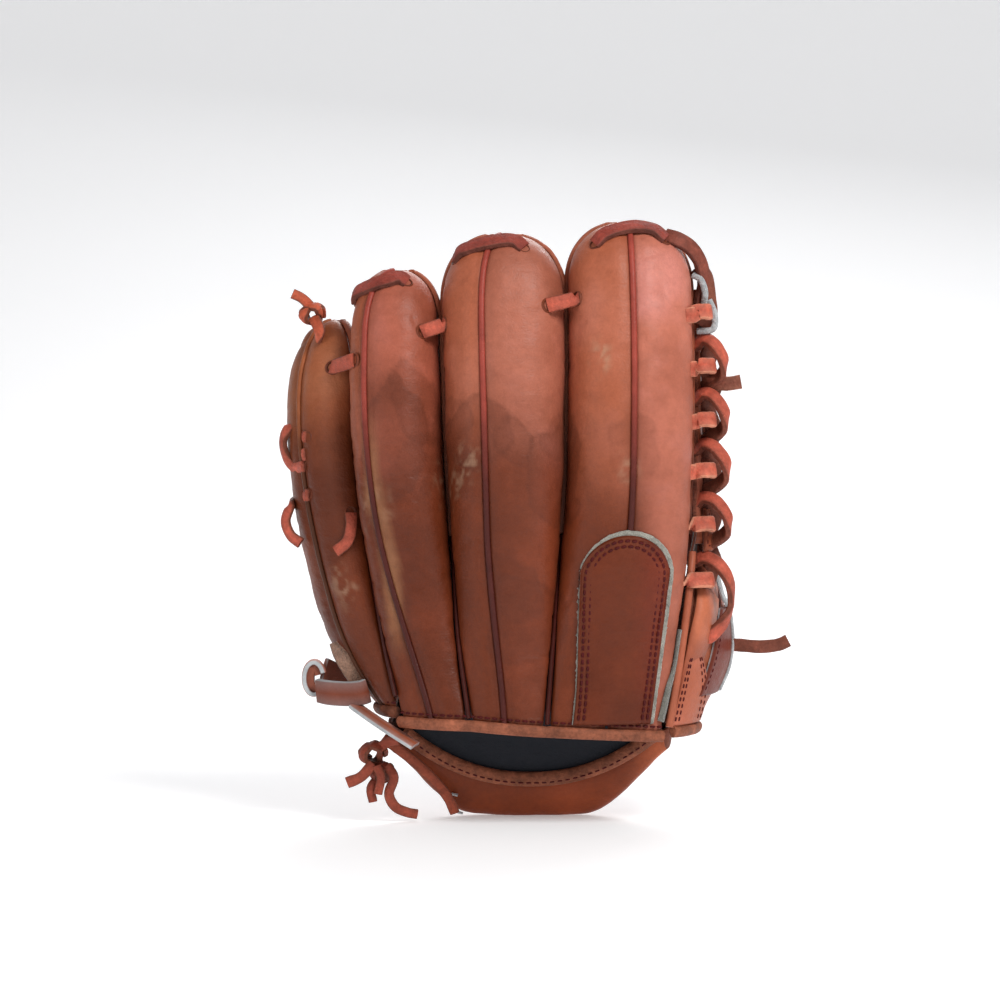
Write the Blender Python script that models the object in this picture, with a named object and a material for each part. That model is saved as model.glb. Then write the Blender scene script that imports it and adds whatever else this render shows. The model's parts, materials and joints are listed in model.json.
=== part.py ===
"""Five-finger leather baseball glove, worn on the left hand, standing fingers up.

Frame: +Z runs from the heel to the fingertips, the back of the hand faces -Y, the thumb is at +X.
The origin is on the resting plane under the heel, below the middle of the wrist opening.
All design numbers are millimetres; mesh_object turns them into metres.
Levels are heights above the heel. A seam line is a list of (level, x, y) points.
"""

import math

import bmesh
import bpy
import numpy as np

MM = 0.001
ORIGIN = (8.0, 70.0, 0.0)      # the middle of the heel's sole, which becomes the origin

# ---------------------------------------------------------------- driving dimensions

SHELL = 2.6            # leather and its backing, thickness
GAP = 0.4              # clearance kept between neighbouring layers
WELT_R = 1.3           # half the width of a rolled welt
WELT_ROOM = 1.9        # half the width of the groove that a welt lies in
ROUNDNESS = 2.5        # exponent of the finger cross-sections; 2 is an ellipse
LACE_WIDTH = 7.0
LACE_THICK = 2.0
CROTCH = 150.0         # level where the palm leather splits into fingers
FRONT_BULGE = 4.5      # crown of the leather on the palm side of a finger
BINDING_HEIGHT = 7.0
BINDING_DEPTH = 2.6
HEEL_BINDING_HALF = 3.4
HEEL_DEPTH = 26.0      # padded heel, from the rim of the wrist opening outwards

# Seams on the back, from the outer side of the little finger (0) to the web side of the index (4).
SEAM = [
    [(56, -64, 48), (75, -82, 60), (90, -92, 67), (130, -103, 77), (170, -108, 83),
     (210, -110, 87), (250, -105, 92)],
    [(55, -58, 20), (90, -66, 29), (130, -73, 36), (170, -79, 41), (210, -82, 44),
     (250, -82, 48), (290, -82, 52)],
    [(54, -23, 8), (90, -28, 16), (130, -31, 23), (170, -34, 28), (210, -36, 31),
     (250, -37, 35), (290, -37, 40)],
    [(51, 16, 6), (90, 19, 14), (130, 22, 21), (170, 25, 26), (210, 26, 29),
     (250, 26, 32), (305, 26, 38)],
    [(48, 75, 15), (90, 82, 22), (130, 87, 27), (170, 89.5, 30), (210, 90.5, 32),
     (250, 90.5, 35), (305, 89, 40)],
]
# Edges of the thumb: the crease and web side, then the outer side.
THUMB_IN = [(48, 78.5, 16), (90, 86, 23), (117, 91, 30), (140, 92, 50), (170, 88, 71), (200, 84.5, 85),
            (230, 82.5, 91), (256, 80, 97)]
THUMB_OUT = [(48, 92, 52), (82, 109.5, 78), (110, 105, 96), (145, 90, 111), (170, 81, 123), (200, 73.5, 131),
             (230, 70, 132), (256, 68.5, 130)]
# The palm leather follows these lines below the crotch, where the hand fits behind it.
PALM = [
    [(62, -72, 58), (75, -83, 66), (90, -92, 73), (120, -101, 81)],
    [(62, -58, 80), (75, -62, 76), (90, -66, 70), (105, -69, 63), (120, -72, 56), (135, -74, 49)],
    [(62, -22, 84), (75, -24, 78), (90, -27, 70), (105, -29, 61), (120, -30.5, 51), (135, -32, 41)],
    [(62, 20, 84), (75, 20, 78), (90, 20, 69), (105, 21, 60), (120, 22, 50), (135, 22.5, 40)],
    [(62, 78, 72), (75, 79, 66), (90, 80, 58), (105, 82, 52), (120, 85, 45), (135, 87, 38)],
]
THUMB_CREASE = [(62, 88, 72), (75, 89.5, 70), (90, 91, 67), (105, 91.5, 64), (120, 90.5, 62),
                (135, 88, 61.5)]

# Per finger: its two edges, the level of its wrist end at each edge, its top, the height of its
# rounded cap, and how far its back stands out at each level. ridge says where the welt of an
# off-centre ridge runs, at the wrist and higher up, as a share of the half width right of the middle.
FINGERS = {
    "little": dict(left=SEAM[0], right=SEAM[1], foot=(60.5, 59.5), top=256, cap=34,
                   bulge=[(50, 3), (90, 9), (130, 14), (170, 17), (210, 18), (256, 16)]),
    "ring": dict(left=SEAM[1], right=SEAM[2], foot=(55, 54), top=281, cap=36, ridge=(-0.02, -0.43),
                 bulge=[(50, 4), (90, 9), (130, 17), (170, 25), (210, 28), (281, 24)]),
    "middle": dict(left=SEAM[2], right=SEAM[3], foot=(54, 51), top=299, cap=38, ridge=(-0.1, -0.32),
                   bulge=[(50, 4), (90, 10), (130, 19), (170, 27), (210, 30), (299, 25)]),
    "index": dict(left=SEAM[3], right=SEAM[4], foot=(51, 48), top=305, cap=36,
                  bulge=[(50, 4), (90, 10), (130, 20), (170, 28), (210, 31), (305, 26)]),
    "thumb": dict(left=THUMB_IN, right=THUMB_OUT, foot=(50, 50), top=256, cap=38,
                  bulge=[(48, 4), (90, 6), (120, 9), (150, 12), (200, 13), (256, 12)]),
}

# The rim of the wrist opening on the palm side: an ellipse in plan that dips in the middle.
RIM_CENTRE = (12, 32)
RIM_HALF = (76, 26)
RIM_LOW = 20.0
RIM_RISE = 29.0
RIM_LEFT, RIM_RIGHT = -58.0, 76.0
# Heel outline outside the rim, as (depth, level) from the rim, scaled by how thick the heel is there.
HEEL_OUTLINE = [(0, 0), (1.5, -10), (8, -23), (17, -23), (23.5, -14), (26, 2), (27, 20)]

# Where the thumb and the little finger fold: along the seams beside the index and ring fingers.
THUMB_AXIS_FOOT = (78, 18, 48)
LITTLE_AXIS_FOOT = (-58, 21, 55)


# ---------------------------------------------------------------- materials

def material(name, colour, roughness, metallic=0.0):
    """A Principled BSDF material. colour is linear RGB."""
    made = bpy.data.materials.new(name)
    made.use_nodes = True
    shader = made.node_tree.nodes["Principled BSDF"]
    shader.inputs["Base Color"].default_value = (*colour, 1)
    shader.inputs["Roughness"].default_value = roughness
    shader.inputs["Metallic"].default_value = metallic
    made.diffuse_color = (*colour, 1)
    return made


# ---------------------------------------------------------------- curves and frames

def spline(rows, level):
    """The smooth curve through rows of (level, value, ...), straight beyond its ends."""
    table = np.array(rows, float)
    levels, values = table[:, 0], table[:, 1:]
    slopes = np.gradient(values, levels, axis=0)
    if level <= levels[0]:
        return values[0] + slopes[0] * (level - levels[0])
    if level >= levels[-1]:
        return values[-1] + slopes[-1] * (level - levels[-1])
    i = int(np.searchsorted(levels, level)) - 1
    step = levels[i + 1] - levels[i]
    t = (level - levels[i]) / step
    return (
        values[i] * (2 * t**3 - 3 * t**2 + 1)
        + values[i + 1] * (3 * t**2 - 2 * t**3)
        + slopes[i] * step * (t**3 - 2 * t**2 + t)
        + slopes[i + 1] * step * (t**3 - t**2)
    )


def smooth(low, high, value):
    t = min(max((value - low) / (high - low), 0), 1)
    return t * t * (3 - 2 * t)


def mix(a, b, t):
    return a + (b - a) * t


def point(xy, z):
    return np.array([xy[0], xy[1], z], float)


def unit(vector):
    return vector / np.linalg.norm(vector)


def cap_share(finger, level):
    """1 on the body of a finger, falling to 0 round its tip."""
    q = min(max((level - (finger["top"] - finger["cap"])) / finger["cap"], 0), 1)
    return (1 - q**2.4) ** (1 / 2.4)


def side_room(level):
    """Half the space between neighbours: wide enough for a welt low down, slim between fingers."""
    return mix(WELT_ROOM, 0.6, smooth(95, 125, level))


def section(finger, level):
    """Centre, unit vector across, unit vector out of the back, half width and height of the back."""
    left, right = spline(finger["left"], level), spline(finger["right"], level)
    across = right - left
    width = np.linalg.norm(across)
    across = across / width
    out = np.array([across[1], -across[0]])
    share = cap_share(finger, level)
    half = (width / 2 - side_room(level)) * share
    back = spline(finger["bulge"], level)[0] * share
    return (left + right) / 2, across, out, half, back


def back_point(finger, turn, level, inset=0.0, proud=0.0):
    """A point on the back of a finger. turn is 0 at its right edge, 90 on its ridge, 180 at the left."""
    centre, across, out, half, back = section(finger, level)
    half, back = max(half - inset + proud, 0.5), max(back - inset + proud, 0.5)
    c, s = math.cos(math.radians(turn)), math.sin(math.radians(turn))
    power = 2 / ROUNDNESS
    x = math.copysign(abs(c) ** power, c) * half
    return point(centre + across * x + out * abs(s) ** power * back, level)


def turn_at(finger, offset, level):
    """The turn of the point that lies offset to the right of the finger's middle."""
    half = max(section(finger, level)[3], abs(offset) + 0.3)
    share = math.copysign(abs(offset / half) ** (ROUNDNESS / 2), offset)
    return math.degrees(math.acos(share))


def ridge_offset(finger, level):
    """How far right of the finger's middle its ridge welt runs."""
    low, high = finger.get("ridge", (0, 0))
    return mix(low, high, smooth(50, 150, level)) * section(finger, level)[3]


def finger_levels(finger, rows, cap_rows, reach=0.985):
    """Shares of a finger's height, closer together round the tip."""
    start = 1 - finger["cap"] / (finger["top"] - finger["foot"][0])
    body = [start * i / rows for i in range(rows)]
    cap = [start + (1 - start) * reach * math.sin(math.pi / 2 * i / cap_rows)
           for i in range(cap_rows + 1)]
    return body + cap


def level_at(finger, share, turn):
    """The level at a share of the height: the wrist end slopes from one edge to the other."""
    across = (1 - math.cos(math.radians(turn))) / 2
    foot = mix(finger["foot"][1], finger["foot"][0], across)
    return mix(foot, finger["top"], share)


# ---------------------------------------------------------------- mesh building

def mesh_object(name, points, faces, look, parent=None, smooth_angle=50):
    """An object from points in millimetres. Faces are turned outwards."""
    mesh = bpy.data.meshes.new(name)
    made = bmesh.new()
    corners = [made.verts.new([(c - o) * MM for c, o in zip(p, ORIGIN)]) for p in points]
    for face in faces:
        made.faces.new([corners[i] for i in face])
    bmesh.ops.recalc_face_normals(made, faces=made.faces)
    made.to_mesh(mesh)
    made.free()
    mesh.materials.append(look)
    mesh.shade_smooth()
    mesh.set_sharp_from_angle(angle=math.radians(smooth_angle))
    obj = bpy.data.objects.new(name, mesh)
    bpy.context.scene.collection.objects.link(obj)
    if parent:
        obj.parent = parent
        obj.matrix_parent_inverse = parent.matrix_world.inverted()
    return obj


def sheet(name, outer, inner, look, parent=None):
    """A closed sheet between two grids of points that have the same rows and columns."""
    rows, columns = len(outer), len(outer[0])
    points = [p for row in outer for p in row] + [p for row in inner for p in row]
    under = rows * columns

    def at(r, c):
        return r * columns + c

    faces = []
    for r in range(rows - 1):
        for c in range(columns - 1):
            quad = [at(r, c), at(r, c + 1), at(r + 1, c + 1), at(r + 1, c)]
            faces += [quad, [under + i for i in reversed(quad)]]
    rim = ([at(0, c) for c in range(columns)]
           + [at(r, columns - 1) for r in range(1, rows)]
           + [at(rows - 1, c) for c in range(columns - 2, -1, -1)]
           + [at(r, 0) for r in range(rows - 2, 0, -1)])
    for a, b in zip(rim, rim[1:] + rim[:1]):
        faces.append([a, under + a, under + b, b])
    return mesh_object(name, points, faces, look, parent)


def loft(name, rings, look, parent=None):
    """A closed body through rings of points, with flat ends."""
    count = len(rings[0])
    points = [p for ring in rings for p in ring]
    faces = [list(range(count)), list(range(len(points) - count, len(points)))]
    for r in range(len(rings) - 1):
        for i in range(count):
            j = (i + 1) % count
            faces.append([r * count + i, r * count + j, (r + 1) * count + j, (r + 1) * count + i])
    return mesh_object(name, points, faces, look, parent)


def sweep(name, path, sides, look, parent=None):
    """A body swept along a path. sides(i) gives the ring of (normal, binormal) offsets; each path
    entry is (position, normal)."""
    rings = []
    for i, (place, normal) in enumerate(path):
        before, after = path[max(i - 1, 0)][0], path[min(i + 1, len(path) - 1)][0]
        along = unit(after - before)
        normal = unit(normal - along * normal.dot(along))
        beside = np.cross(along, normal)
        rings.append([place + normal * n + beside * b for n, b in sides(i)])
    return loft(name, rings, look, parent)


def oval_ring(depth, height, corners=8):
    """The section of a rolled edge: half its depth and half its height."""
    turns = [2 * math.pi * k / corners for k in range(corners)]
    return [(depth * math.cos(turn), height * math.sin(turn)) for turn in turns]


def cord(name, path, radius, look, parent=None, corners=6):
    """A round cord or rolled welt along a path of (position, normal)."""
    ring = [(radius * math.cos(2 * math.pi * k / corners), radius * math.sin(2 * math.pi * k / corners))
            for k in range(corners)]
    return sweep(name, path, lambda i: ring, look, parent)


def lace(name, path, look, parent=None, width=LACE_WIDTH, thick=LACE_THICK):
    """A flat lace whose broad side faces the normals of its path."""
    t, w = thick / 2, width / 2
    ring = [(-t, -w), (t, -w), (t, w), (-t, w)]
    return sweep(name, path, lambda i: ring, look, parent)


def smooth_path(knots, steps):
    """A smooth path of (position, normal) through knots given as (position, normal)."""
    places = [(i, *knot[0]) for i, knot in enumerate(knots)]
    normals = [(i, *knot[1]) for i, knot in enumerate(knots)]
    count = steps * (len(knots) - 1)
    return [(spline(places, i / steps), spline(normals, i / steps)) for i in range(count + 1)]


# ---------------------------------------------------------------- finger parts

def back_panel(name, finger, edge_turn, room, look, parent):
    """One of the two leather panels on the back of a finger, from its edge to the ridge welt."""
    outer, inner = [], []
    for share in finger_levels(finger, 8, 5):
        out_row, in_row = [], []
        middle = level_at(finger, share, 90)
        ridge = turn_at(finger, ridge_offset(finger, middle) + room, middle)
        for column in range(5):
            turn = mix(edge_turn, ridge, column / 4)
            level = level_at(finger, share, turn)
            out_row.append(back_point(finger, turn, level))
            in_row.append(back_point(finger, turn, level, inset=SHELL))
        outer.append(out_row)
        inner.append(in_row)
    return sheet(name, outer, inner, look, parent)


def ridge_welt(name, finger, look, parent):
    """The rolled welt between the two panels of a finger back."""
    path = []
    for share in finger_levels(finger, 8, 5)[:-1]:
        level = level_at(finger, share, 90)
        turn = turn_at(finger, ridge_offset(finger, level), level)
        normal = point(section(finger, level)[2], 0)
        path.append((back_point(finger, turn, level, inset=WELT_R - 0.5), normal))
    return cord(name, path, WELT_R, look, parent)


def finger_padding(name, finger, first_level, inset, look, parent):
    """The felt that fills a finger stall, flat on the palm side."""
    rings = []
    for level in np.linspace(first_level, finger["top"] - 6, 8):
        lift = point(section(finger, level)[2] * 1.0, 0)
        ring = [back_point(finger, turn, level, inset=inset) for turn in range(0, 181, 30)]
        rings.append([p + lift for p in ring])
    return loft(name, rings, look, parent)


def seam_welt(name, line, first, last, look, parent):
    """The welt low down between two neighbouring finger backs."""
    path = []
    for level in np.linspace(first, last, 7):
        xy = spline(line, level)
        path.append((point(xy + np.array([0, -WELT_R]), level), np.array([0, -1.0, 0])))
    return cord(name, path, WELT_R, look, parent)


# ---------------------------------------------------------------- palm side

def palm_line(k):
    """Outer surface of the palm leather along seam k: the palm, then the front of the fingers."""
    rows = list(PALM[k])
    for level, x, y in SEAM[k]:
        if level >= CROTCH + 15:
            rows.append((level, x, y + SHELL + 1.0))
    return rows


def lower_left(rows, shift):
    """Rows of a line moved across below the crotch, to leave room for a fold."""
    return [(level, x + shift * (1 - smooth(115, 160, level)), y) for level, x, y in rows]


def front_point(finger, left, right, share_across, level, sink=0.0):
    """A point on the palm side of a finger, or of the palm below it. share_across runs 0 to 1."""
    a, b = spline(left, level), spline(right, level)
    middle, across = (a + b) / 2, b - a
    width = np.linalg.norm(across)
    across = across / width
    ahead = np.array([-across[1], across[0]])
    split = smooth(CROTCH - 2, CROTCH + 12, level)
    cap = cap_share(finger, level)
    half = (width / 2 - side_room(level) * split) * cap
    c = 2 * share_across - 1
    crown = FRONT_BULGE * smooth(CROTCH - 18, CROTCH + 15, level) * (1 - abs(c) ** ROUNDNESS) * cap
    return point(middle + across * c * half + ahead * (crown - sink), level)


def rim_point(x):
    """The rim of the wrist opening on the palm side, and the direction out of the opening."""
    dx = (x - RIM_CENTRE[0]) / RIM_HALF[0]
    dy = math.sqrt(max(1 - dx * dx, 0.02))
    rise = min(abs((x - 8) / 70) ** 2.2, 1.0)
    out = unit(np.array([dx / RIM_HALF[0], dy / RIM_HALF[1]]))
    return np.array([x, RIM_CENTRE[1] + RIM_HALF[1] * dy, RIM_LOW + RIM_RISE * rise]), out


def heel_share(x):
    """How thick the heel is at x: full in the middle, thin at both corners."""
    return 1 - 0.6 * smooth(25, 68, abs(x - 8))


def heel_outline(x, sink=0.0):
    """The heel's outline at x, as (depth, height): flat where it rests. sink moves it inwards."""
    rim = rim_point(x)[0]
    share = heel_share(x)
    line = [np.array([depth * share, max(rim[2] + level * share, 0)]) for depth, level in HEEL_OUTLINE]
    moved = []
    for i, corner in enumerate(line):
        before, after = line[max(i - 1, 0)], line[min(i + 1, len(line) - 1)]
        along = unit(after - before)
        moved.append(corner + np.array([-along[1], along[0]]) * sink)
    return moved


def heel_point(x, depth, height):
    rim, out = rim_point(x)
    return np.array([rim[0] + out[0] * depth, rim[1] + out[1] * depth, height])


PALM_COLUMNS = 4


def palm_shell(look, parent):
    """The one-piece palm leather: heel, palm, and the fronts of the ring, middle and index fingers."""
    names = ["ring", "middle", "index"]
    points, faces = [], []

    def add(p):
        points.append(p)
        return len(points) - 1

    columns = [(k, c) for k in (1, 2, 3) for c in range(PALM_COLUMNS)] + [(3, PALM_COLUMNS)]
    rows = []
    xs = [mix(RIM_LEFT, RIM_RIGHT, i / (len(columns) - 1)) for i in range(len(columns))]
    for i in range(len(HEEL_OUTLINE)):
        rows.append([add(heel_point(x, *heel_outline(x)[i])) for x in xs])
    for level in (62, 76, 90, 105, 120, 135, CROTCH):
        row = []
        for k, c in columns:
            finger = FINGERS[names[k - 1]]
            row.append(add(front_point(finger, palm_line(k), palm_line(k + 1), c / PALM_COLUMNS, level)))
        rows.append(row)
    for lower, upper in zip(rows, rows[1:]):
        for i in range(len(columns) - 1):
            faces.append([lower[i], lower[i + 1], upper[i + 1], upper[i]])
    for k in (1, 2, 3):
        finger = FINGERS[names[k - 1]]
        start = (k - 1) * PALM_COLUMNS
        below = rows[-1][start:start + PALM_COLUMNS + 1]
        levels = list(np.linspace(CROTCH + 16, finger["top"] - finger["cap"], 4))
        levels += [finger["top"] - finger["cap"] * (1 - math.sin(math.pi / 2 * i / 4) * 0.97)
                   for i in range(1, 5)]
        for level in levels:
            row = [add(front_point(finger, palm_line(k), palm_line(k + 1), c / PALM_COLUMNS, level))
                   for c in range(PALM_COLUMNS + 1)]
            for c in range(PALM_COLUMNS):
                faces.append([below[c], below[c + 1], row[c + 1], row[c]])
            below = row
    return thick_sheet("palm_shell", points, faces, SHELL, look, parent)


def thick_sheet(name, points, faces, thickness, look, parent, towards=(0, 1, 0)):
    """An open sheet given a thickness behind its outer side by a Solidify modifier."""
    obj = mesh_object(name, points, faces, look, parent)
    mesh = obj.data
    total = sum((p.normal * p.area for p in mesh.polygons), start=mesh.polygons[0].normal * 0)
    if total.dot(towards) < 0:
        mesh.flip_normals()
    solid = obj.modifiers.new("thickness", "SOLIDIFY")
    solid.thickness = thickness * MM
    solid.offset = -1
    return obj


def front_panel(name, finger, left, right, levels, look, parent, towards=(0, 1, 0)):
    """The palm-side leather of one finger."""
    points, faces = [], []
    width = PALM_COLUMNS + 1
    for level in levels:
        for c in range(width):
            points.append(front_point(finger, left, right, c / PALM_COLUMNS, level))
    for r in range(len(levels) - 1):
        for c in range(PALM_COLUMNS):
            a = r * width + c
            faces.append([a, a + 1, a + width + 1, a + width])
    return thick_sheet(name, points, faces, SHELL, look, parent, towards)


def outer_fronts(look, little, thumb):
    """The palm-side leather of the little finger and of the thumb."""
    cap = [math.sin(math.pi / 2 * i / 4) * 0.94 for i in range(1, 5)]
    finger = FINGERS["little"]
    left = PALM[0] + [(level, x + 3.4, y + 2.2) for level, x, y in SEAM[0] if level > 145]
    right = PALM[1] + [(level, x + 0.3, y + 6.4) for level, x, y in SEAM[1] if level > 145]
    levels = [66, 78, 92, 108, 124, 140, 156, 175, 195, finger["top"] - finger["cap"]]
    levels += [finger["top"] - finger["cap"] * (1 - c) for c in cap]
    front_panel("little_front", finger, left, lower_left(right, -9), levels, look, little, (0.8, 0.6, 0))
    finger = FINGERS["thumb"]
    left = THUMB_CREASE + [(level, x - 3.6, y - 0.5) for level, x, y in THUMB_IN if level > 145]
    right = [(level, x - 4.2, y - 2.2) for level, x, y in THUMB_OUT]
    levels = [64, 78, 92, 106, 120, 135, 152, 170, 188, 204, finger["top"] - finger["cap"]]
    levels += [finger["top"] - finger["cap"] * (1 - c) for c in cap]
    front_panel("thumb_front", finger, left, right, levels, look, thumb, (-1, 0, 0))


def palm_layer(name, levels, sink, thickness, look, parent, first=0.03, last=0.97):
    """A sheet inside the palm, sunk behind the palm leather."""
    grids = []
    for depth in (sink, sink + thickness):
        grid = []
        for level in levels:
            row = []
            for i in range(10):
                share = mix(first, last, i / 9) * 3
                k = min(int(share), 2)
                row.append(front_point(FINGERS["middle"], palm_line(k + 1), palm_line(k + 2),
                                       share - k, level, sink=depth))
            grid.append(row)
        grids.append(grid)
    return sheet(name, grids[0], grids[1], look, parent)


def heel_pad(look, parent):
    """The thick felt roll inside the heel."""
    rings = []
    for x in np.linspace(RIM_LEFT + 17, RIM_RIGHT - 18, 9):
        share = heel_share(x)
        ring = heel_outline(x, SHELL + 1.9)
        foot = rim_point(x)[0][2]
        ring += [np.array([22 * share, foot + 34 * share]), np.array([9 * share, foot + 38 * share]),
                 np.array([max(6.5 * share, SHELL + 2), foot + 18 * share])]
        rings.append([heel_point(x, *corner) for corner in ring])
    return loft("heel_pad", rings, look, parent)


def palm_liner(look, parent):
    """Soft leather against the hand, from the rim of the wrist opening up to the finger roots."""
    outer, inner = [], []
    xs = np.linspace(RIM_LEFT + 6, RIM_RIGHT - 8, 9)
    for share in np.linspace(0, 1, 8):
        out_row, in_row = [], []
        for x in xs:
            rim, out = rim_point(x)
            foot = rim + point(out * 1.2, 2.0)
            k = 1 if x < -25 else 2 if x < 20 else 3
            level = 132.0
            a, b = spline(palm_line(k), level), spline(palm_line(k + 1), level)
            t = (x - a[0]) / (b[0] - a[0])
            head = point(mix(a, b, t) - np.array([0, 12.5]), level)
            middle = (foot + head) / 2 + np.array([0, 6.0, 0])
            place = (1 - share) ** 2 * foot + 2 * share * (1 - share) * middle + share**2 * head
            out_row.append(place)
            in_row.append(place - np.array([0, 1.2, 0]))
        outer.append(out_row)
        inner.append(in_row)
    return sheet("palm_liner", outer, inner, look, parent)


def back_liner(look, parent):
    """Soft leather under the back of the hand, behind the finger seams."""
    outer, inner = [], []
    for level in np.linspace(58, 122, 6):
        out_row, in_row = [], []
        for i in range(9):
            share = mix(0.12, 2.9, i / 8)
            k = min(int(share), 2)
            a, b = spline(SEAM[k + 1], level), spline(SEAM[k + 2], level)
            place = point(mix(a, b, share - k) + np.array([0, 1.2]), level)
            out_row.append(place)
            in_row.append(place + np.array([0, 1.2, 0]))
        outer.append(out_row)
        inner.append(in_row)
    return sheet("back_liner", outer, inner, look, parent)


# ---------------------------------------------------------------- edges, pads and trims

def wrist_edge(share):
    """The lower edge of the glove back, from seam 1 to seam 4."""
    k = min(int(share * 3), 2)
    finger = FINGERS[["ring", "middle", "index"][k]]
    across = share * 3 - k
    level = mix(finger["foot"][0], finger["foot"][1], across)
    half_turn = 180 * (1 - across)
    return back_point(finger, half_turn, level), level, finger


def wrist_binding(look, parent):
    """The rolled leather binding along the lower edge of the glove back."""
    path = []
    for i in range(22):
        place, level, finger = wrist_edge(i / 21)
        out = section(finger, level)[2]
        place = place - point(out * 1.2, BINDING_HEIGHT / 2 + GAP)
        path.append((place, point(out, 0)))
    ring = oval_ring(BINDING_DEPTH, BINDING_HEIGHT / 2)
    return sweep("wrist_binding", path, lambda i: ring, look, parent)


def heel_binding(look, parent):
    """The rolled binding on the palm-side rim of the wrist opening."""
    path = []
    for i in range(17):
        x = mix(RIM_LEFT + 1, RIM_RIGHT - 1, i / 16)
        rim, out = rim_point(x)
        path.append((rim - point(out * 3.4, 0.5), point(out, 0)))
    ring = oval_ring(BINDING_DEPTH, HEEL_BINDING_HALF)
    return sweep("heel_binding", path, lambda i: ring, look, parent)


HOOD_TOP = 149.0
HOOD_HALF = 22.5
HOOD_FOOT = 52.0
HOOD_SHIFT = 2.3


def hood_grid(proud, grow, rows=10, columns=9):
    """A tongue-shaped patch on the back of the index finger, round at its upper end."""
    finger = FINGERS["index"]
    half, top = HOOD_HALF + grow, HOOD_TOP + grow
    grid = []
    for r in range(rows):
        row = []
        for c in range(columns):
            v = 2 * c / (columns - 1) - 1
            arch = top - half * (1 - math.sqrt(max(1 - v * v * 0.96, 0)))
            level = mix(HOOD_FOOT, arch, r / (rows - 1))
            turn = turn_at(finger, v * half + HOOD_SHIFT, level)
            row.append(back_point(finger, turn, level, proud=proud))
        grid.append(row)
    return grid


def hood(name, low, high, grow, look, parent):
    return sheet(name, hood_grid(high, grow), hood_grid(low, grow), look, parent)


def side_binding(name, finger, look, parent):
    """The short binding under the wrist end of the little finger or thumb side."""
    path = []
    for i in range(9):
        turn = mix(168, 14, i / 8)
        level = level_at(finger, 0, turn)
        out = section(finger, level)[2]
        place = back_point(finger, turn, level) - point(out * 1.2, BINDING_HEIGHT / 2 + GAP)
        path.append((place, point(out, 0)))
    ring = oval_ring(BINDING_DEPTH, BINDING_HEIGHT / 2)
    return sweep(name, path, lambda i: ring, look, parent)


# ---------------------------------------------------------------- web

WEB_LOW, WEB_HIGH = 140.0, 272.0


def web_point(across, level):
    """The surface of the web: across runs 0 at the index finger to 1 at the thumb."""
    a = spline(SEAM[4], level) + np.array([3.5, 3.0])
    b = spline(THUMB_IN, min(level, 250)) + np.array([-1.5, -4.5])
    bow = 7.0 * math.sin(math.pi * across)
    side = unit(b - a)
    out = np.array([side[1], -side[0]])
    drop = 22 * across * smooth(180, 270, level)      # the top edge slopes down to the thumb
    return point(mix(a, b, across) + out * bow, level - drop), point(out, 0)


def web_sheet(name, first, last, low, high, thick, look, parent, columns=4, rows=7, lift=0.0):
    """A leather panel of the web, between two shares of its width and two levels."""
    outer, inner = [], []
    for r in range(rows):
        out_row, in_row = [], []
        for c in range(columns):
            place, out = web_point(mix(first, last, c / (columns - 1)), mix(low, high, r / (rows - 1)))
            out_row.append(place + out * (lift + thick / 2))
            in_row.append(place + out * (lift - thick / 2))
        outer.append(out_row)
        inner.append(in_row)
    return sheet(name, outer, inner, look, parent)


WEB_LACE_LEVELS = [262, 248, 234, 222, 210, 197, 185, 171, 157, 144, 131]


def index_web_lace(look, parent):
    """The lace that zigzags down the web side of the index finger."""
    knots = []
    for i, level in enumerate(WEB_LACE_LEVELS):
        turn = 30 if i % 2 == 0 else 13
        foot, top = (back_point(FINGERS["index"], turn, level, proud=p) for p in (0, 1))
        knots.append((back_point(FINGERS["index"], turn, level, proud=2.4), top - foot))
    return lace("web_index_lace", smooth_path(knots, 3), look, parent, width=5.0)


def thumb_web_lace(look, parent):
    """The lace that zigzags down the web where it meets the thumb."""
    knots = []
    for i, level in enumerate(WEB_LACE_LEVELS[2:-3]):
        place, out = web_point(0.79 if i % 2 == 0 else 0.93, level + 3)
        knots.append((place + out * 4.1, out))
    return lace("web_thumb_lace", smooth_path(knots, 3), look, parent, width=5.0)


# ---------------------------------------------------------------- laces on the fingers

def tip_lace(name, finger, level, first_turn, last_turn, look, parent):
    """The lace that crosses the back of a fingertip."""
    path = []
    for i in range(9):
        turn = mix(first_turn, last_turn, i / 8)
        out = section(finger, level)[2]
        normal = point(out, 0.6)
        place = back_point(finger, turn, level, proud=LACE_THICK / 2 + 1.4)
        path.append((place, normal))
    return lace(name, path, look, parent, width=6.0)


def bridge_lace(name, left, left_turn, right, right_turn, level, look, parent):
    """A short lace that joins two neighbouring fingers across the gap between them."""
    proud = LACE_THICK / 2 + 1.2
    a = back_point(left, left_turn, level, proud=proud)
    b = back_point(right, right_turn, level, proud=proud)
    out = np.array([0, -1.0, 0])
    path = [(mix(a, b, t) + out * 1.5 * math.sin(math.pi * t), out) for t in np.linspace(0, 1, 5)]
    return lace(name, path, look, parent)


def empty_at(name, place):
    made = bpy.data.objects.new(name, None)
    made.location = [(c - o) * MM for c, o in zip(place, ORIGIN)]
    bpy.context.scene.collection.objects.link(made)
    bpy.context.view_layer.update()
    return made


def lace_on(name, finger, marks, look, parent, width=LACE_WIDTH, steps=4, proud=2.2):
    """A lace on the back of a finger through marks given as (turn, level)."""
    knots = []
    for turn, level in marks:
        foot, top = (back_point(finger, turn, level, proud=p) for p in (0, 1))
        knots.append((back_point(finger, turn, level, proud=proud), top - foot))
    return lace(name, smooth_path(knots, steps), look, parent, width)


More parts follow.
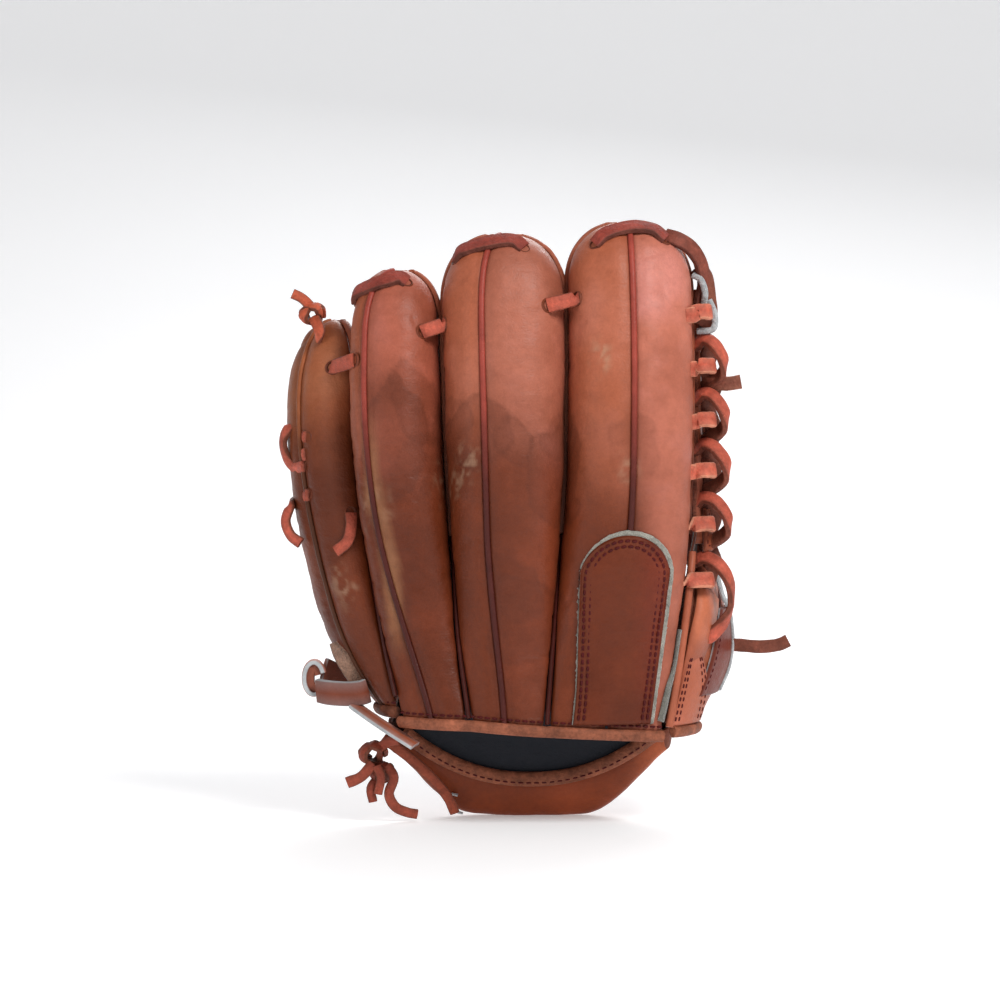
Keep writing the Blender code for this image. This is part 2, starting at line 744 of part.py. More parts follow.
def stay(name, finger, look, parent):
    """The stiff insert under the back of an outer stall."""
    grids = []
    for inset in (SHELL + 1.6, SHELL + 3.2):
        grids.append([[back_point(finger, turn, level, inset=inset) for turn in range(50, 131, 20)]
                      for level in np.linspace(68, 116, 5)])
    return sheet(name, grids[0], grids[1], look, parent)


def thumb_overlay(look, parent):
    """The V-shaped reinforcing panel at the foot of the thumb."""
    finger = FINGERS["thumb"]
    grids = []
    for proud in (2.6, 0.6):
        grid = []
        for share in np.linspace(0, 1, 6):
            row = []
            for t in np.linspace(0, 1, 5):
                level = mix(51, 92, share)
                turn = mix(mix(172, 150, share), mix(110, 142, share), t)
                row.append(back_point(finger, turn, level, proud=proud))
            grid.append(row)
        grids.append(grid)
    return sheet("thumb_overlay", grids[0], grids[1], look, parent)


def thumb_heel_flap(look, parent):
    """The flap over the outer side of the thumb's heel."""
    finger = FINGERS["thumb"]
    grids = []
    for proud in (2.6, 0.8):
        grid = []
        for share in np.linspace(0, 1, 6):
            turns = np.linspace(mix(70, 100, share), 12, 6)
            grid.append([back_point(finger, turn, mix(62, 108, share), proud=proud) for turn in turns])
        grids.append(grid)
    return sheet("thumb_heel_flap", grids[0], grids[1], look, parent)


def thumb_lace_tail(look, parent):
    """The long free end of the lace at the thumb's heel."""
    marks = ((117.5, 76, 92), (122, 72, 93), (129, 70, 90), (136, 69, 88))
    knots = [(np.array(mark, float), np.array([0.1, -1.0, 0.0])) for mark in marks]
    return lace("thumb_lace_tail", smooth_path(knots, 3), look, parent, width=5.5)


STRAP_PATH = [(-60, 85, 65), (-71, 86, 66), (-79, 80, 67.5), (-86, 71.5, 69.5), (-92.5, 62.5, 72),
              (-101, 55, 73.5)]
STRAP_WIDTH = 13.0


def strap_normal():
    return np.array([-0.5, 0.85, 0.0])


def wrist_strap(look, parent):
    """The adjusting strap beside the heel, with a rolled end to pull it by."""
    knots = [(np.array(place, float), strap_normal()) for place in STRAP_PATH]
    path = smooth_path(knots, 3)

    def sides(i):
        end = i >= len(path) - 2
        thick, width = (7.0, STRAP_WIDTH) if end else (SHELL, STRAP_WIDTH)
        return [(-thick / 2, -width / 2), (thick / 2, -width / 2), (thick / 2, width / 2),
                (-thick / 2, width / 2)]

    return sweep("wrist_strap", path, sides, look, parent)


def strap_keeper(look, parent):
    """The leather sleeve that the strap slides through."""
    before, after = (np.array(place, float) for place in STRAP_PATH[2:4])
    centre = (before + after) / 2
    along = unit(after - before)
    normal = unit(strap_normal() - along * strap_normal().dot(along))
    beside = np.cross(along, normal)
    rings = []
    for sign in (-1, 1):
        ring = []
        for n, b in ((-3.4, -9), (3.4, -9), (3.4, 9), (-3.4, 9), (-2.0, 7.4), (2.0, 7.4), (2.0, -7.4),
                     (-2.0, -7.4)):
            ring.append(centre + along * sign * 4 + normal * n + beside * b)
        rings.append(ring)
    points = [p for ring in rings for p in ring]
    faces = []
    outer, inner = [0, 1, 2, 3], [7, 6, 5, 4]
    for i in range(4):
        j = (i + 1) % 4
        a, b = outer[i], outer[j]
        faces.append([a, b, b + 8, a + 8])
        c, d = inner[i], inner[j]
        faces.append([c, d, d + 8, c + 8])
        faces.append([a, b, d, c])
        faces.append([a + 8, b + 8, d + 8, c + 8])
    return mesh_object("strap_keeper", points, faces, look, parent)


def knot(name, centre, radius, look, parent):
    """A tied lace knot."""
    centre = np.array(centre, float)
    points, faces = [], []
    sides, rings = 8, 5
    for r in range(rings):
        angle = math.pi * (r + 0.5) / rings
        for i in range(sides):
            turn = 2 * math.pi * (i + 0.5 * (r % 2)) / sides
            across = math.sin(angle) * math.cos(turn) * (1.0 + 0.15 * math.cos(3 * turn))
            deep = 0.75 * math.sin(angle) * math.sin(turn)
            offset = np.array([across, deep, math.cos(angle)])
            points.append(centre + offset * radius)
    for r in range(rings - 1):
        for i in range(sides):
            j = (i + 1) % sides
            faces.append([r * sides + i, r * sides + j, (r + 1) * sides + j, (r + 1) * sides + i])
    faces += [list(range(sides)), list(range((rings - 1) * sides, rings * sides))]
    return mesh_object(name, points, faces, look, parent)


def heel_lace(look, parent):
    """The lace that runs along the heel below the rim, from the outer corner of the wrist."""
    knots = []
    for x, drop in ((-55, 9), (-45, 10.5), (-35, 12), (-25, 13.5), (-17, 14)):
        rim, out = rim_point(x)
        knots.append((rim - point(out * 1.8, drop), -point(out, 0)))
    return lace("heel_lace", smooth_path(knots, 3), look, parent, width=6.0)


def main():
    for obj in list(bpy.data.objects):
        bpy.data.objects.remove(obj)

    leather = material("orange_leather", (0.44, 0.13, 0.055), 0.55)
    welt = material("welt_leather", (0.42, 0.075, 0.045), 0.5)
    trim = material("binding_leather", (0.5, 0.2, 0.1), 0.6)
    rawhide = material("lace_rawhide", (0.62, 0.17, 0.08), 0.6)
    felt = material("grey_felt", (0.3, 0.29, 0.27), 0.95)
    padding = material("wool_felt", (0.65, 0.6, 0.5), 0.95)
    lining = material("dark_lining", (0.012, 0.015, 0.02), 0.8)
    board = material("stay_board", (0.05, 0.05, 0.055), 0.6)

    hand = empty_at("hand", ORIGIN)
    thumb = empty_at("thumb", THUMB_AXIS_FOOT)
    little = empty_at("little_finger", LITTLE_AXIS_FOOT)
    strap = empty_at("strap", STRAP_PATH[2])
    owner = {"thumb": thumb, "little": little}

    for name, finger in FINGERS.items():
        parent = owner.get(name, hand)
        back_panel(name + "_back_left", finger, 180, -WELT_ROOM, leather, parent)
        back_panel(name + "_back_right", finger, 0, WELT_ROOM, leather, parent)
        ridge_welt(name + "_ridge_welt", finger, welt, parent)
        first, inset = (134, SHELL + 4.0) if name == "thumb" else (150, SHELL + 1.8)
        finger_padding(name + "_padding", finger, first, inset, padding, parent)

    seam_welt("seam_welt_little_ring", SEAM[1], 62, 92, welt, hand)
    seam_welt("seam_welt_ring_middle", SEAM[2], 57, 92, welt, hand)
    seam_welt("seam_welt_middle_index", SEAM[3], 55, 92, welt, hand)

    palm_shell(leather, hand)
    heel_pad(padding, hand)
    palm_layer("palm_padding", np.linspace(86, 132, 6), SHELL + 1.0, 6.0, padding, hand)
    palm_liner(lining, hand)
    back_liner(lining, hand)
    outer_fronts(leather, little, thumb)
    stay("little_stay", FINGERS["little"], board, little)
    stay("thumb_stay", FINGERS["thumb"], board, thumb)

    wrist_binding(trim, hand)
    heel_binding(trim, hand)
    side_binding("little_side_binding", FINGERS["little"], trim, little)
    side_binding("thumb_side_binding", FINGERS["thumb"], trim, thumb)
    hood("finger_hood_felt", 1.3, 2.5, 1.5, felt, hand)
    hood("finger_hood", 2.9, 4.9, 0.0, leather, hand)
    thumb_overlay(leather, thumb)
    thumb_heel_flap(leather, thumb)
    thumb_lace_tail(rawhide, thumb)

    web_sheet("web_panel", 0.12, 0.9, WEB_LOW + 4, WEB_HIGH, 2.8, leather, thumb, columns=6, rows=8)
    web_sheet("web_post", 0.4, 0.62, WEB_LOW + 24, WEB_HIGH - 22, 2.4, leather, thumb, columns=3, lift=3.4)
    web_sheet("web_crossbar", 0.13, 0.88, WEB_HIGH - 18, WEB_HIGH + 6, 2.4, leather, thumb, rows=3, lift=3.4)
    web_sheet("web_base", 0.16, 0.84, WEB_LOW - 2, WEB_LOW + 20, 2.4, leather, thumb, rows=3, lift=3.4)
    index_web_lace(rawhide, hand)
    thumb_web_lace(rawhide, thumb)

    for name, level in (("index", 296), ("middle", 290), ("ring", 272)):
        tip_lace(name + "_tip_lace", FINGERS[name], level, 150, 30, rawhide, hand)
    bridge_lace("lace_ring_middle", FINGERS["ring"], 38, FINGERS["middle"], 150, 251, rawhide, hand)
    bridge_lace("lace_middle_index", FINGERS["middle"], 34, FINGERS["index"], 148, 264, rawhide, hand)
    knot("little_tip_knot", (-104, 62, 262), 7.0, rawhide, little)
    lace_on("little_side_lace", FINGERS["little"], ((120, 205), (150, 197), (160, 186), (140, 176)), rawhide,
            little, width=5.5)
    heel_lace(rawhide, hand)
    knot("heel_knot", (-70, 36, 40), 7.0, rawhide, hand)

    wrist_strap(leather, strap)
    strap_keeper(trim, little)


main()
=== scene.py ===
"""Looks for the five-finger leather baseball glove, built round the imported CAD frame.

Design numbers are millimetres; solid() turns them into metres. A finger's surface is addressed by
turn (0 at its right edge, 90 in its middle, 180 at its left edge) and by level (height above the heel).
on() and seen() give places by where an eye in front of the glove sees them.
"""

import json
import math

import bmesh
import bpy
import numpy as np
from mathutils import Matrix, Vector


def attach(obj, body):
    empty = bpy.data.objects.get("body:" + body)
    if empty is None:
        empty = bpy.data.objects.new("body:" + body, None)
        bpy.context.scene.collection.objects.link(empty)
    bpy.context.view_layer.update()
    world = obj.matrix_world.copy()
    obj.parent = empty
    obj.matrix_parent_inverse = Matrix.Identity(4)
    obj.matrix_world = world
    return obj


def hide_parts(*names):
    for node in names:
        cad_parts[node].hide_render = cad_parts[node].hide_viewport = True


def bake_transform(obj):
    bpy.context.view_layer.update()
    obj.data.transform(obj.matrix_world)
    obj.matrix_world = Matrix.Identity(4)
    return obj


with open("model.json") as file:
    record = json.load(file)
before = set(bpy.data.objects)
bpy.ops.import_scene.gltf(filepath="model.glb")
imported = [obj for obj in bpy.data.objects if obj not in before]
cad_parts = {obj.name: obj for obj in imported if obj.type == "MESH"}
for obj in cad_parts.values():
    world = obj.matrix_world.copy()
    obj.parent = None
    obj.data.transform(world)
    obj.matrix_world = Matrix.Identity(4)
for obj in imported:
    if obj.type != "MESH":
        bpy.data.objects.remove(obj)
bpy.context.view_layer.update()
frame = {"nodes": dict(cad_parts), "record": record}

MM = 0.001
ORIGIN = np.array([8.0, 70.0, 0.0])  # the middle of the heel's sole, which is the frame's origin

# --- the glove's lines

SHELL = 2.6
ROUNDNESS = 2.5
CAP_POWER = 2.4
CROTCH = 150.0
FRONT_BULGE = 4.5

# Each seam runs up the back between two fingers, as (level, x, y).
SEAM = [
    [(56, -64, 48), (75, -82, 60), (90, -92, 67), (130, -103, 77), (170, -108, 83),
     (210, -110, 87), (250, -105, 92)],
    [(55, -58, 20), (90, -66, 29), (130, -73, 36), (170, -79, 41), (210, -82, 44),
     (250, -82, 48), (290, -82, 52)],
    [(54, -23, 8), (90, -28, 16), (130, -31, 23), (170, -34, 28), (210, -36, 31),
     (250, -37, 35), (290, -37, 40)],
    [(51, 16, 6), (90, 19, 14), (130, 22, 21), (170, 25, 26), (210, 26, 29),
     (250, 26, 32), (305, 26, 38)],
    [(48, 75, 15), (90, 82, 22), (130, 87, 27), (170, 89.5, 30), (210, 90.5, 32),
     (250, 90.5, 35), (305, 89, 40)],
]
THUMB_IN = [(48, 78.5, 16), (90, 86, 23), (117, 91, 30), (140, 92, 50), (170, 88, 71), (200, 84.5, 85),
            (230, 82.5, 91), (256, 80, 97)]
THUMB_OUT = [(48, 92, 52), (82, 109.5, 78), (110, 105, 96), (145, 90, 111), (170, 81, 123), (200, 73.5, 131),
             (230, 70, 132), (256, 68.5, 130)]
# The same seams on the palm side, from the heel to the crotch.
PALM = [
    [(62, -72, 58), (75, -83, 66), (90, -92, 73), (120, -101, 81)],
    [(62, -58, 80), (75, -62, 76), (90, -66, 70), (105, -69, 63), (120, -72, 56), (135, -74, 49)],
    [(62, -22, 84), (75, -24, 78), (90, -27, 70), (105, -29, 61), (120, -30.5, 51), (135, -32, 41)],
    [(62, 20, 84), (75, 20, 78), (90, 20, 69), (105, 21, 60), (120, 22, 50), (135, 22.5, 40)],
    [(62, 78, 72), (75, 79, 66), (90, 80, 58), (105, 82, 52), (120, 85, 45), (135, 87, 38)],
]
THUMB_CREASE = [(62, 88, 72), (75, 89.5, 70), (90, 91, 67), (105, 91.5, 64), (120, 90.5, 62),
                (135, 88, 61.5)]


def curve(rows):
    """The smooth curve through rows of (level, value, ...), as a function of an array of levels."""
    table = np.array(rows, float)
    x, v = table[:, 0], table[:, 1:]
    m = np.gradient(v, x, axis=0)

    def at(q):
        q = np.asarray(q, float)
        i = np.clip(np.searchsorted(x, q, side="right") - 1, 0, len(x) - 2)
        h = (x[i + 1] - x[i])[..., None]
        s = (q - x[i])[..., None] / h
        t = np.clip(s, 0, 1)
        r = (v[i] * (2 * t**3 - 3 * t**2 + 1) + v[i + 1] * (3 * t**2 - 2 * t**3)
             + m[i] * h * (t**3 - 2 * t**2 + t) + m[i + 1] * h * (t**3 - t**2))
        return r + m[i] * h * np.minimum(s, 0) + m[i + 1] * h * np.maximum(s - 1, 0)

    return at


def smooth(low, high, value):
    t = np.clip((np.asarray(value, float) - low) / (high - low), 0, 1)
    return t * t * (3 - 2 * t)


def mix(a, b, t):
    return a + (b - a) * t


def unit(v):
    v = np.asarray(v, float)
    return v / np.maximum(np.linalg.norm(v, axis=-1, keepdims=True), 1e-9)


def xyz(xy, z):
    z = np.broadcast_to(np.asarray(z, float)[..., None], xy.shape[:-1] + (1,))
    return np.concatenate([xy, z], -1)


# foot is the lowest level at the left and right edge, cap is the height of the rounded fingertip, and
# ridge is how far the ridge welt lies right of the middle, as a share of the half width, low and high up.
FINGERS = {
    "little": dict(left=SEAM[0], right=SEAM[1], foot=(60.5, 59.5), top=256, cap=34,
                   bulge=[(50, 3), (90, 9), (130, 14), (170, 17), (210, 18), (256, 16)]),
    "ring": dict(left=SEAM[1], right=SEAM[2], foot=(55, 54), top=281, cap=36, ridge=(-0.02, -0.43),
                 bulge=[(50, 4), (90, 9), (130, 17), (170, 25), (210, 28), (281, 24)]),
    "middle": dict(left=SEAM[2], right=SEAM[3], foot=(54, 51), top=299, cap=38, ridge=(-0.1, -0.32),
                   bulge=[(50, 4), (90, 10), (130, 19), (170, 27), (210, 30), (299, 25)]),
    "index": dict(left=SEAM[3], right=SEAM[4], foot=(51, 48), top=305, cap=36,
                  bulge=[(50, 4), (90, 10), (130, 20), (170, 28), (210, 31), (305, 26)]),
    "thumb": dict(left=THUMB_IN, right=THUMB_OUT, foot=(50, 50), top=256, cap=38,
                  bulge=[(48, 4), (90, 6), (120, 9), (150, 12), (200, 13), (256, 12)]),
}
for finger in FINGERS.values():
    for line in ("left", "right", "bulge"):
        finger[line + "_at"] = curve(finger[line])
BODY = {"little": "little", "ring": "hand", "middle": "hand", "index": "hand", "thumb": "thumb"}


def side_room(level):
    """Half the gap that is left between neighbouring fingers."""
    return mix(0.75, 0.55, smooth(95, 125, level))


def roundness(level):
    """The power of a finger's superellipse section: an ellipse at the wrist, fuller above."""
    return mix(2.0, ROUNDNESS, smooth(70, 130, level))


def cap_share(f, level):
    """The share of a finger's full width at a level, which falls to 0 over the fingertip."""
    q = np.clip((level - (f["top"] - f["cap"])) / f["cap"], 0, 1)
    return (1 - q**CAP_POWER) ** (1 / CAP_POWER)


def section(f, level, share=None):
    """(middle, direction across, direction out, half width, bulge) of a finger's back."""
    left, right = f["left_at"](level), f["right_at"](level)
    width = np.linalg.norm(right - left, axis=-1)
    across = (right - left) / width[..., None]
    out = np.stack([across[..., 1], -across[..., 0]], -1)
    share = cap_share(f, level) if share is None else share
    half = (width / 2 - side_room(level)) * share
    return (left + right) / 2, across, out, half, f["bulge_at"](level)[..., 0] * share


def back_at(f, turn, level, proud=0.0, share=None):
    centre, across, out, half, back = section(f, np.asarray(level, float), share)
    half, back = np.maximum(half + proud, 0.01), np.maximum(back + proud, 0.01)
    c, s = np.cos(np.radians(turn)), np.sin(np.radians(turn))
    power = 2 / roundness(level)
    x = np.sign(c) * np.abs(c) ** power * half
    return xyz(centre + across * x[..., None] + out * (np.abs(s) ** power * back)[..., None], level)


def turn_of(side, level):
    """The turn of a point that lies side (a share of the half width) right of the middle."""
    return np.degrees(np.arccos(np.sign(side) * np.abs(side) ** (roundness(level) / 2)))


def ridge_turn(f, level, gap=0.0):
    """The turn of the ridge welt, or of a line gap (a share of the half width) to its right."""
    low, high = f.get("ridge", (0, 0))
    return turn_of(np.clip(mix(low, high, smooth(50, 150, level)) + gap, -0.9, 0.9), level)


def level_at(f, share, turn):
    across = (1 - np.cos(np.radians(turn))) / 2
    return mix(mix(f["foot"][1], f["foot"][0], across), f["top"], share)


def rows_of(f, body, cap, last):
    """(share of the height, cap share) up a finger: even on the body, then round the cap."""
    height = f["top"] - f["foot"][0]
    start = 1 - f["cap"] / height
    a = np.radians(np.linspace(0, last, cap))
    high = start + (1 - start) * np.sin(a) ** (2 / CAP_POWER)
    share = np.concatenate([np.linspace(0, start, body, endpoint=False), high])
    return share, np.concatenate([np.ones(body), np.maximum(np.cos(a), 0) ** (2 / CAP_POWER)])


def levels_over(f, low, body, last):
    """(level, cap share) from low up to the fingertip: even on the body, then round the cap."""
    a = np.radians(np.linspace(0, last, 26))[1:]
    start = f["top"] - f["cap"]
    level = np.concatenate([np.linspace(low, start, body), start + f["cap"] * np.sin(a) ** (2 / CAP_POWER)])
    return level, np.concatenate([np.ones(body), np.cos(a) ** (2 / CAP_POWER)])


def facing(grid, toward):
    """Unit normals of a grid of points, on the side that toward points to."""
    n = unit(np.cross(np.gradient(grid, axis=1), np.gradient(grid, axis=0)))
    return n if (n * np.asarray(toward, float)).sum() > 0 else -n


def runs(grid):
    """Distances down the columns and over the rows of a grid, from its first row and column."""
    down = np.linalg.norm(np.diff(grid, axis=0, prepend=grid[:1]), axis=-1)
    over = np.linalg.norm(np.diff(grid, axis=1, prepend=grid[:, :1]), axis=-1)
    return np.cumsum(down, 0), np.cumsum(over, 1)


# --- noise on arrays of points

def value_noise(p, cell, seed):
    """Smooth noise in 0..1 at points p (mm), with features about cell across. cell may be a triple."""
    q = p / np.asarray(cell, float) + seed * 17.31
    i = np.floor(q).astype(np.int64)
    f = q - i
    f = f * f * (3 - 2 * f)

    def corner(a, b, c):
        n = (i[..., 0] + a) * 73856093 ^ (i[..., 1] + b) * 19349663 ^ (i[..., 2] + c) * 83492791
        n = n ^ seed * 2654435
        for shift, factor in ((13, 1274126177), (15, 1103515245)):
            n = (n ^ (n >> shift)) * factor & 0x7FFFFFFF
        return (n >> 7 & 0xFFFF) / 65535.0

    def plane(c):
        near = mix(corner(0, 0, c), corner(1, 0, c), f[..., 0])
        far = mix(corner(0, 1, c), corner(1, 1, c), f[..., 0])
        return mix(near, far, f[..., 1])

    return mix(plane(0), plane(1), f[..., 2])


def fbm(p, cell, seed, octaves=3):
    """Noise in 0..1 with finer noise added at half the strength each time."""
    cell = np.asarray(cell, float)
    total, gain, weight = 0.0, 1.0, 0.0
    for k in range(octaves):
        total = total + gain * value_noise(p, cell / 2**k, seed + k)
        weight += gain
        gain *= 0.5
    return total / weight


def creases(p, cell, seed, sharp):
    """Thin lines, 1 on a crease and 0 away from it."""
    return np.exp(-np.abs(fbm(p, cell, seed, 2) - 0.5) * sharp * 4)


# --- colours

def srgb(r, g, b):
    c = np.array([r, g, b], float) / 255
    return np.where(c <= 0.04045, c / 12.92, ((c + 0.055) / 1.055) ** 2.4)


TAN = srgb(184, 102, 74)
TAN_LIGHT = srgb(206, 126, 106)
TAN_DARK = srgb(122, 60, 38)
# painted shade: the colour that the heel half of the leather darkens towards
LOW_SHADE = srgb(102, 43, 18)
RED_BROWN = srgb(104, 37, 21)
BROWN = srgb(164, 92, 54)
BROWN_DARK = srgb(112, 62, 38)
BROWN_LIGHT = srgb(186, 118, 78)
STAIN = srgb(86, 40, 25)
WORN = srgb(178, 146, 118)
# rubbed wear and a painted highlight beside the little finger's seam
RUBBED_AND_LIT = srgb(176, 122, 84)
POCKET = srgb(96, 52, 36)
WELT_RED = srgb(152, 64, 52)
LACE = srgb(184, 88, 68)
KNOT = srgb(190, 90, 62)
RUST = srgb(150, 72, 50)
TIP_LACE = srgb(148, 64, 52)
DARK_CUT = srgb(98, 54, 44)
PALE_CUT = srgb(216, 146, 118)
FLESH_LACE = srgb(112, 62, 48)
SUEDE = srgb(118, 66, 50)
RAW = srgb(186, 190, 192)
FELT = srgb(150, 148, 138)
THREAD = srgb(76, 14, 15)
LINING = srgb(28, 30, 36)
BINDING = srgb(142, 83, 60)

# Tide lines left by water: centre (x, z), size, strength. They only show on the back.
STAINS = [((-62, 195), 20, 1.0), ((-48, 212), 16, 0.7), ((-16, 196), 18, 0.9), ((0, 190), 14, 0.8),
          ((18, 182), 19, 0.9), ((-34, 172), 12, 0.6), ((-58, 130), 14, 0.5), ((60, 196), 16, 0.35),
          ((-50, 182), 13, 0.6), ((-32, 206), 10, 0.7), ((6, 104), 20, 0.9), ((2, 120), 14, 0.7),
          ((20, 196), 12, 0.6)]
# Pale worn spots: centre (x, z), size.
WEAR = [((-70, 162), 9), ((-34, 172), 8), ((-24, 182), 7), ((44, 238), 7), ((-88, 120), 8), ((56, 180), 6)]


def paint(p, edge, base, dark=TAN_DARK, light=TAN_LIGHT, seed=0, stained=False):
    """Colour per point. edge is the distance to a seam. The heel half is painted darker, as shade, less so
    on the thumb's side.
    """
    x, y, z = np.moveaxis(p, -1, 0)
    broad = fbm(p, 38, 11 + seed)
    fine = fbm(p, 7, 23 + seed)
    # painted shade: darker towards the heel, with a wavy upper edge and less on the thumb's side
    low_shade_mask = smooth(236, 158, z + (fbm(p, 45, 77) - 0.5) * 70)
    low_shade_mask = (low_shade_mask * (0.94 - 0.66 * smooth(54, 78, x)))[..., None]
    base = mix(base, LOW_SHADE, low_shade_mask)
    light = mix(light, LOW_SHADE * 1.6, low_shade_mask)
    dark = mix(dark, LOW_SHADE * 0.6, low_shade_mask)
    colour = mix(base, light, (smooth(0.48, 0.8, broad) * 0.7)[..., None])
    colour = mix(colour, dark, (smooth(0.5, 0.2, broad) * 0.5)[..., None])
    colour = mix(colour, dark, (smooth(0.6, 0.85, fine) * 0.16)[..., None])
    colour = mix(colour, light, (smooth(0.4, 0.15, fine) * 0.16)[..., None])
    # painted shade: darker close to seams and edges, where the leather dips
    seam_shade = np.exp(-np.maximum(edge, 0) / 1.2) * 0.3 + np.exp(-np.maximum(edge, 0) / 7.0) * 0.25
    colour = mix(colour, dark * 0.8, np.clip(seam_shade, 0, 0.9)[..., None])
    if stained:
        wobble = (fbm(p, 24, 5) - 0.5) * 26 + (fbm(p, 7, 6) - 0.5) * 3
        back = smooth(60, 40, y)
        for (at_x, at_z), size, strength in STAINS:
            r = np.hypot((x - at_x) * 1.15, (z - at_z) * 0.8) + wobble
            inside = smooth(size + 0.6, size - 0.8, r)
            wet = inside * (0.22 + 0.3 * np.exp(-np.maximum(size - r, 0) / 3.0))
            colour = mix(colour, STAIN, np.clip(wet * strength * back, 0, 0.7)[..., None])
        speck = fbm(p, 3.2, 31, 2)
        for (at_x, at_z), size in WEAR:
            r = np.hypot(x - at_x, (z - at_z) * 0.7)
            worn = smooth(size * 1.3, 0, r + (fbm(p, 6, 8) - 0.5) * 9) * smooth(0.42, 0.75, speck)
            colour = mix(colour, WORN, (worn * back * 0.5)[..., None])
        # a lighter streak where the ring finger rubs against the little finger: rubbed wear, with a painted
        # highlight on the rolled edge
        rub_and_highlight = np.abs(x + mix(58.0, 74.0, smooth(85, 205, z)) + (fbm(p, 16, 9) - 0.5) * 7)
        rub_and_highlight = smooth(6.5, 1.0, rub_and_highlight) * smooth(80, 110, z) * smooth(215, 180, z) * smooth(70, 50, y)
        colour = mix(colour, RUBBED_AND_LIT, (rub_and_highlight * (0.25 + 0.5 * fbm(p, 9, 14)))[..., None])
    # painted shade: thin darker lines, as shade in fine creases
    lines = creases(p, (26, 26, 9), 41 + seed, 10)
    return mix(colour, dark * 0.8, (lines * 0.1)[..., None])


# --- materials

def nodes_for(name, roughness, sheen=0.0):
    made = bpy.data.materials.new(name)
    made.use_nodes = True
    tree = made.node_tree
    shader = tree.nodes["Principled BSDF"]
    shader.inputs["Roughness"].default_value = roughness
    shader.inputs["Sheen Weight"].default_value = sheen
    return made, tree, shader


def add(tree, kind, **values):
    node = tree.nodes.new(kind)
    for key, value in values.items():
        if key in node.inputs:
            node.inputs[key].default_value = value
        else:
            setattr(node, key, value)
    return node


def ramp(tree, source, low, high, to_low, to_high):
    node = tree.nodes.new("ShaderNodeMapRange")
    for key, value in zip(("From Min", "From Max", "To Min", "To Max"), (low, high, to_low, to_high)):
        node.inputs[key].default_value = value
    tree.links.new(source, node.inputs["Value"])
    return node.outputs["Result"]


def math_node(tree, operation, a, b):
    node = tree.nodes.new("ShaderNodeMath")
    node.operation = operation
    for socket, value in zip(node.inputs, (a, b)):
        if isinstance(value, (int, float)):
            socket.default_value = value
        else:
            tree.links.new(value, socket)
    return node.outputs[0]


def leather(name, rough, grain, sheen=0.0, coat=0.0, fuzz=0.0, mottled=0.07):
    """Leather, suede or felt: colour from the painted attribute, with grain, creases and pores."""
    made, tree, shader = nodes_for(name, rough, sheen)
    link = tree.links.new
    rest = add(tree, "ShaderNodeAttribute", attribute_name="rest").outputs["Vector"]
    colour = add(tree, "ShaderNodeAttribute", attribute_name="col").outputs["Color"]
    pores = add(tree, "ShaderNodeTexVoronoi", Scale=1150.0)
    pores.feature = "SMOOTH_F1"
    pebble = add(tree, "ShaderNodeTexNoise", Scale=620.0, Detail=4.0, Roughness=0.6)
    wrinkle = add(tree, "ShaderNodeTexNoise", Scale=150.0, Detail=5.0, Roughness=0.62, Distortion=0.6)
    mottle = add(tree, "ShaderNodeTexNoise", Scale=240.0, Detail=4.0, Roughness=0.6)
    stretch = add(tree, "ShaderNodeMapping", Scale=(0.55, 0.55, 1.7))
    link(rest, stretch.inputs["Vector"])
    link(stretch.outputs["Vector"], wrinkle.inputs["Vector"])
    for node in (pores, pebble, mottle):
        link(rest, node.inputs["Vector"])
    shade = ramp(tree, mottle.outputs["Fac"], 0.3, 0.7, 1 - mottled, 1 + mottled)
    speck = ramp(tree, pebble.outputs["Fac"], 0.35, 0.65, 1 - mottled / 2, 1 + mottled / 2)
    tint = add(tree, "ShaderNodeVectorMath", operation="SCALE")
    link(colour, tint.inputs[0])
    link(math_node(tree, "MULTIPLY", shade, speck), tint.inputs["Scale"])
    link(tint.outputs["Vector"], shader.inputs["Base Color"])
    link(ramp(tree, mottle.outputs["Fac"], 0.3, 0.7, rough - 0.06, rough + 0.1), shader.inputs["Roughness"])
    height = math_node(tree, "ADD", math_node(tree, "MULTIPLY", pores.outputs["Distance"], 0.5),
                       math_node(tree, "MULTIPLY", pebble.outputs["Fac"], 0.7 + fuzz))
    height = math_node(tree, "ADD", height, math_node(tree, "MULTIPLY", wrinkle.outputs["Fac"], 1.6))
    bump = add(tree, "ShaderNodeBump", Strength=grain, Distance=0.0007)
    link(height, bump.inputs["Height"])
    link(bump.outputs["Normal"], shader.inputs["Normal"])
    shader.inputs["Specular IOR Level"].default_value = 0.22
    shader.inputs["Coat Weight"].default_value = coat
    shader.inputs["Coat Roughness"].default_value = 0.35
    return made


LEATHER = leather("glove_leather", 0.42, 0.34, coat=0.05)
SCUFFED = leather("scuffed_binding", 0.62, 0.7, mottled=0.3)
LACE_HIDE = leather("lace_rawhide", 0.55, 0.6, mottled=0.22)
FLESH = leather("flesh_side_suede", 0.9, 0.8, sheen=0.3, fuzz=1.2, mottled=0.3)
WOOL = leather("wool_felt", 0.95, 0.9, sheen=0.5, fuzz=2.5, mottled=0.25)
DARK = leather("dark_lining_leather", 0.7, 0.5)
YARN = leather("waxed_thread", 0.6, 0.3)


# --- meshes from grids

def metres(x, y, z):
    return tuple((np.array([x, y, z]) - ORIGIN) * MM)


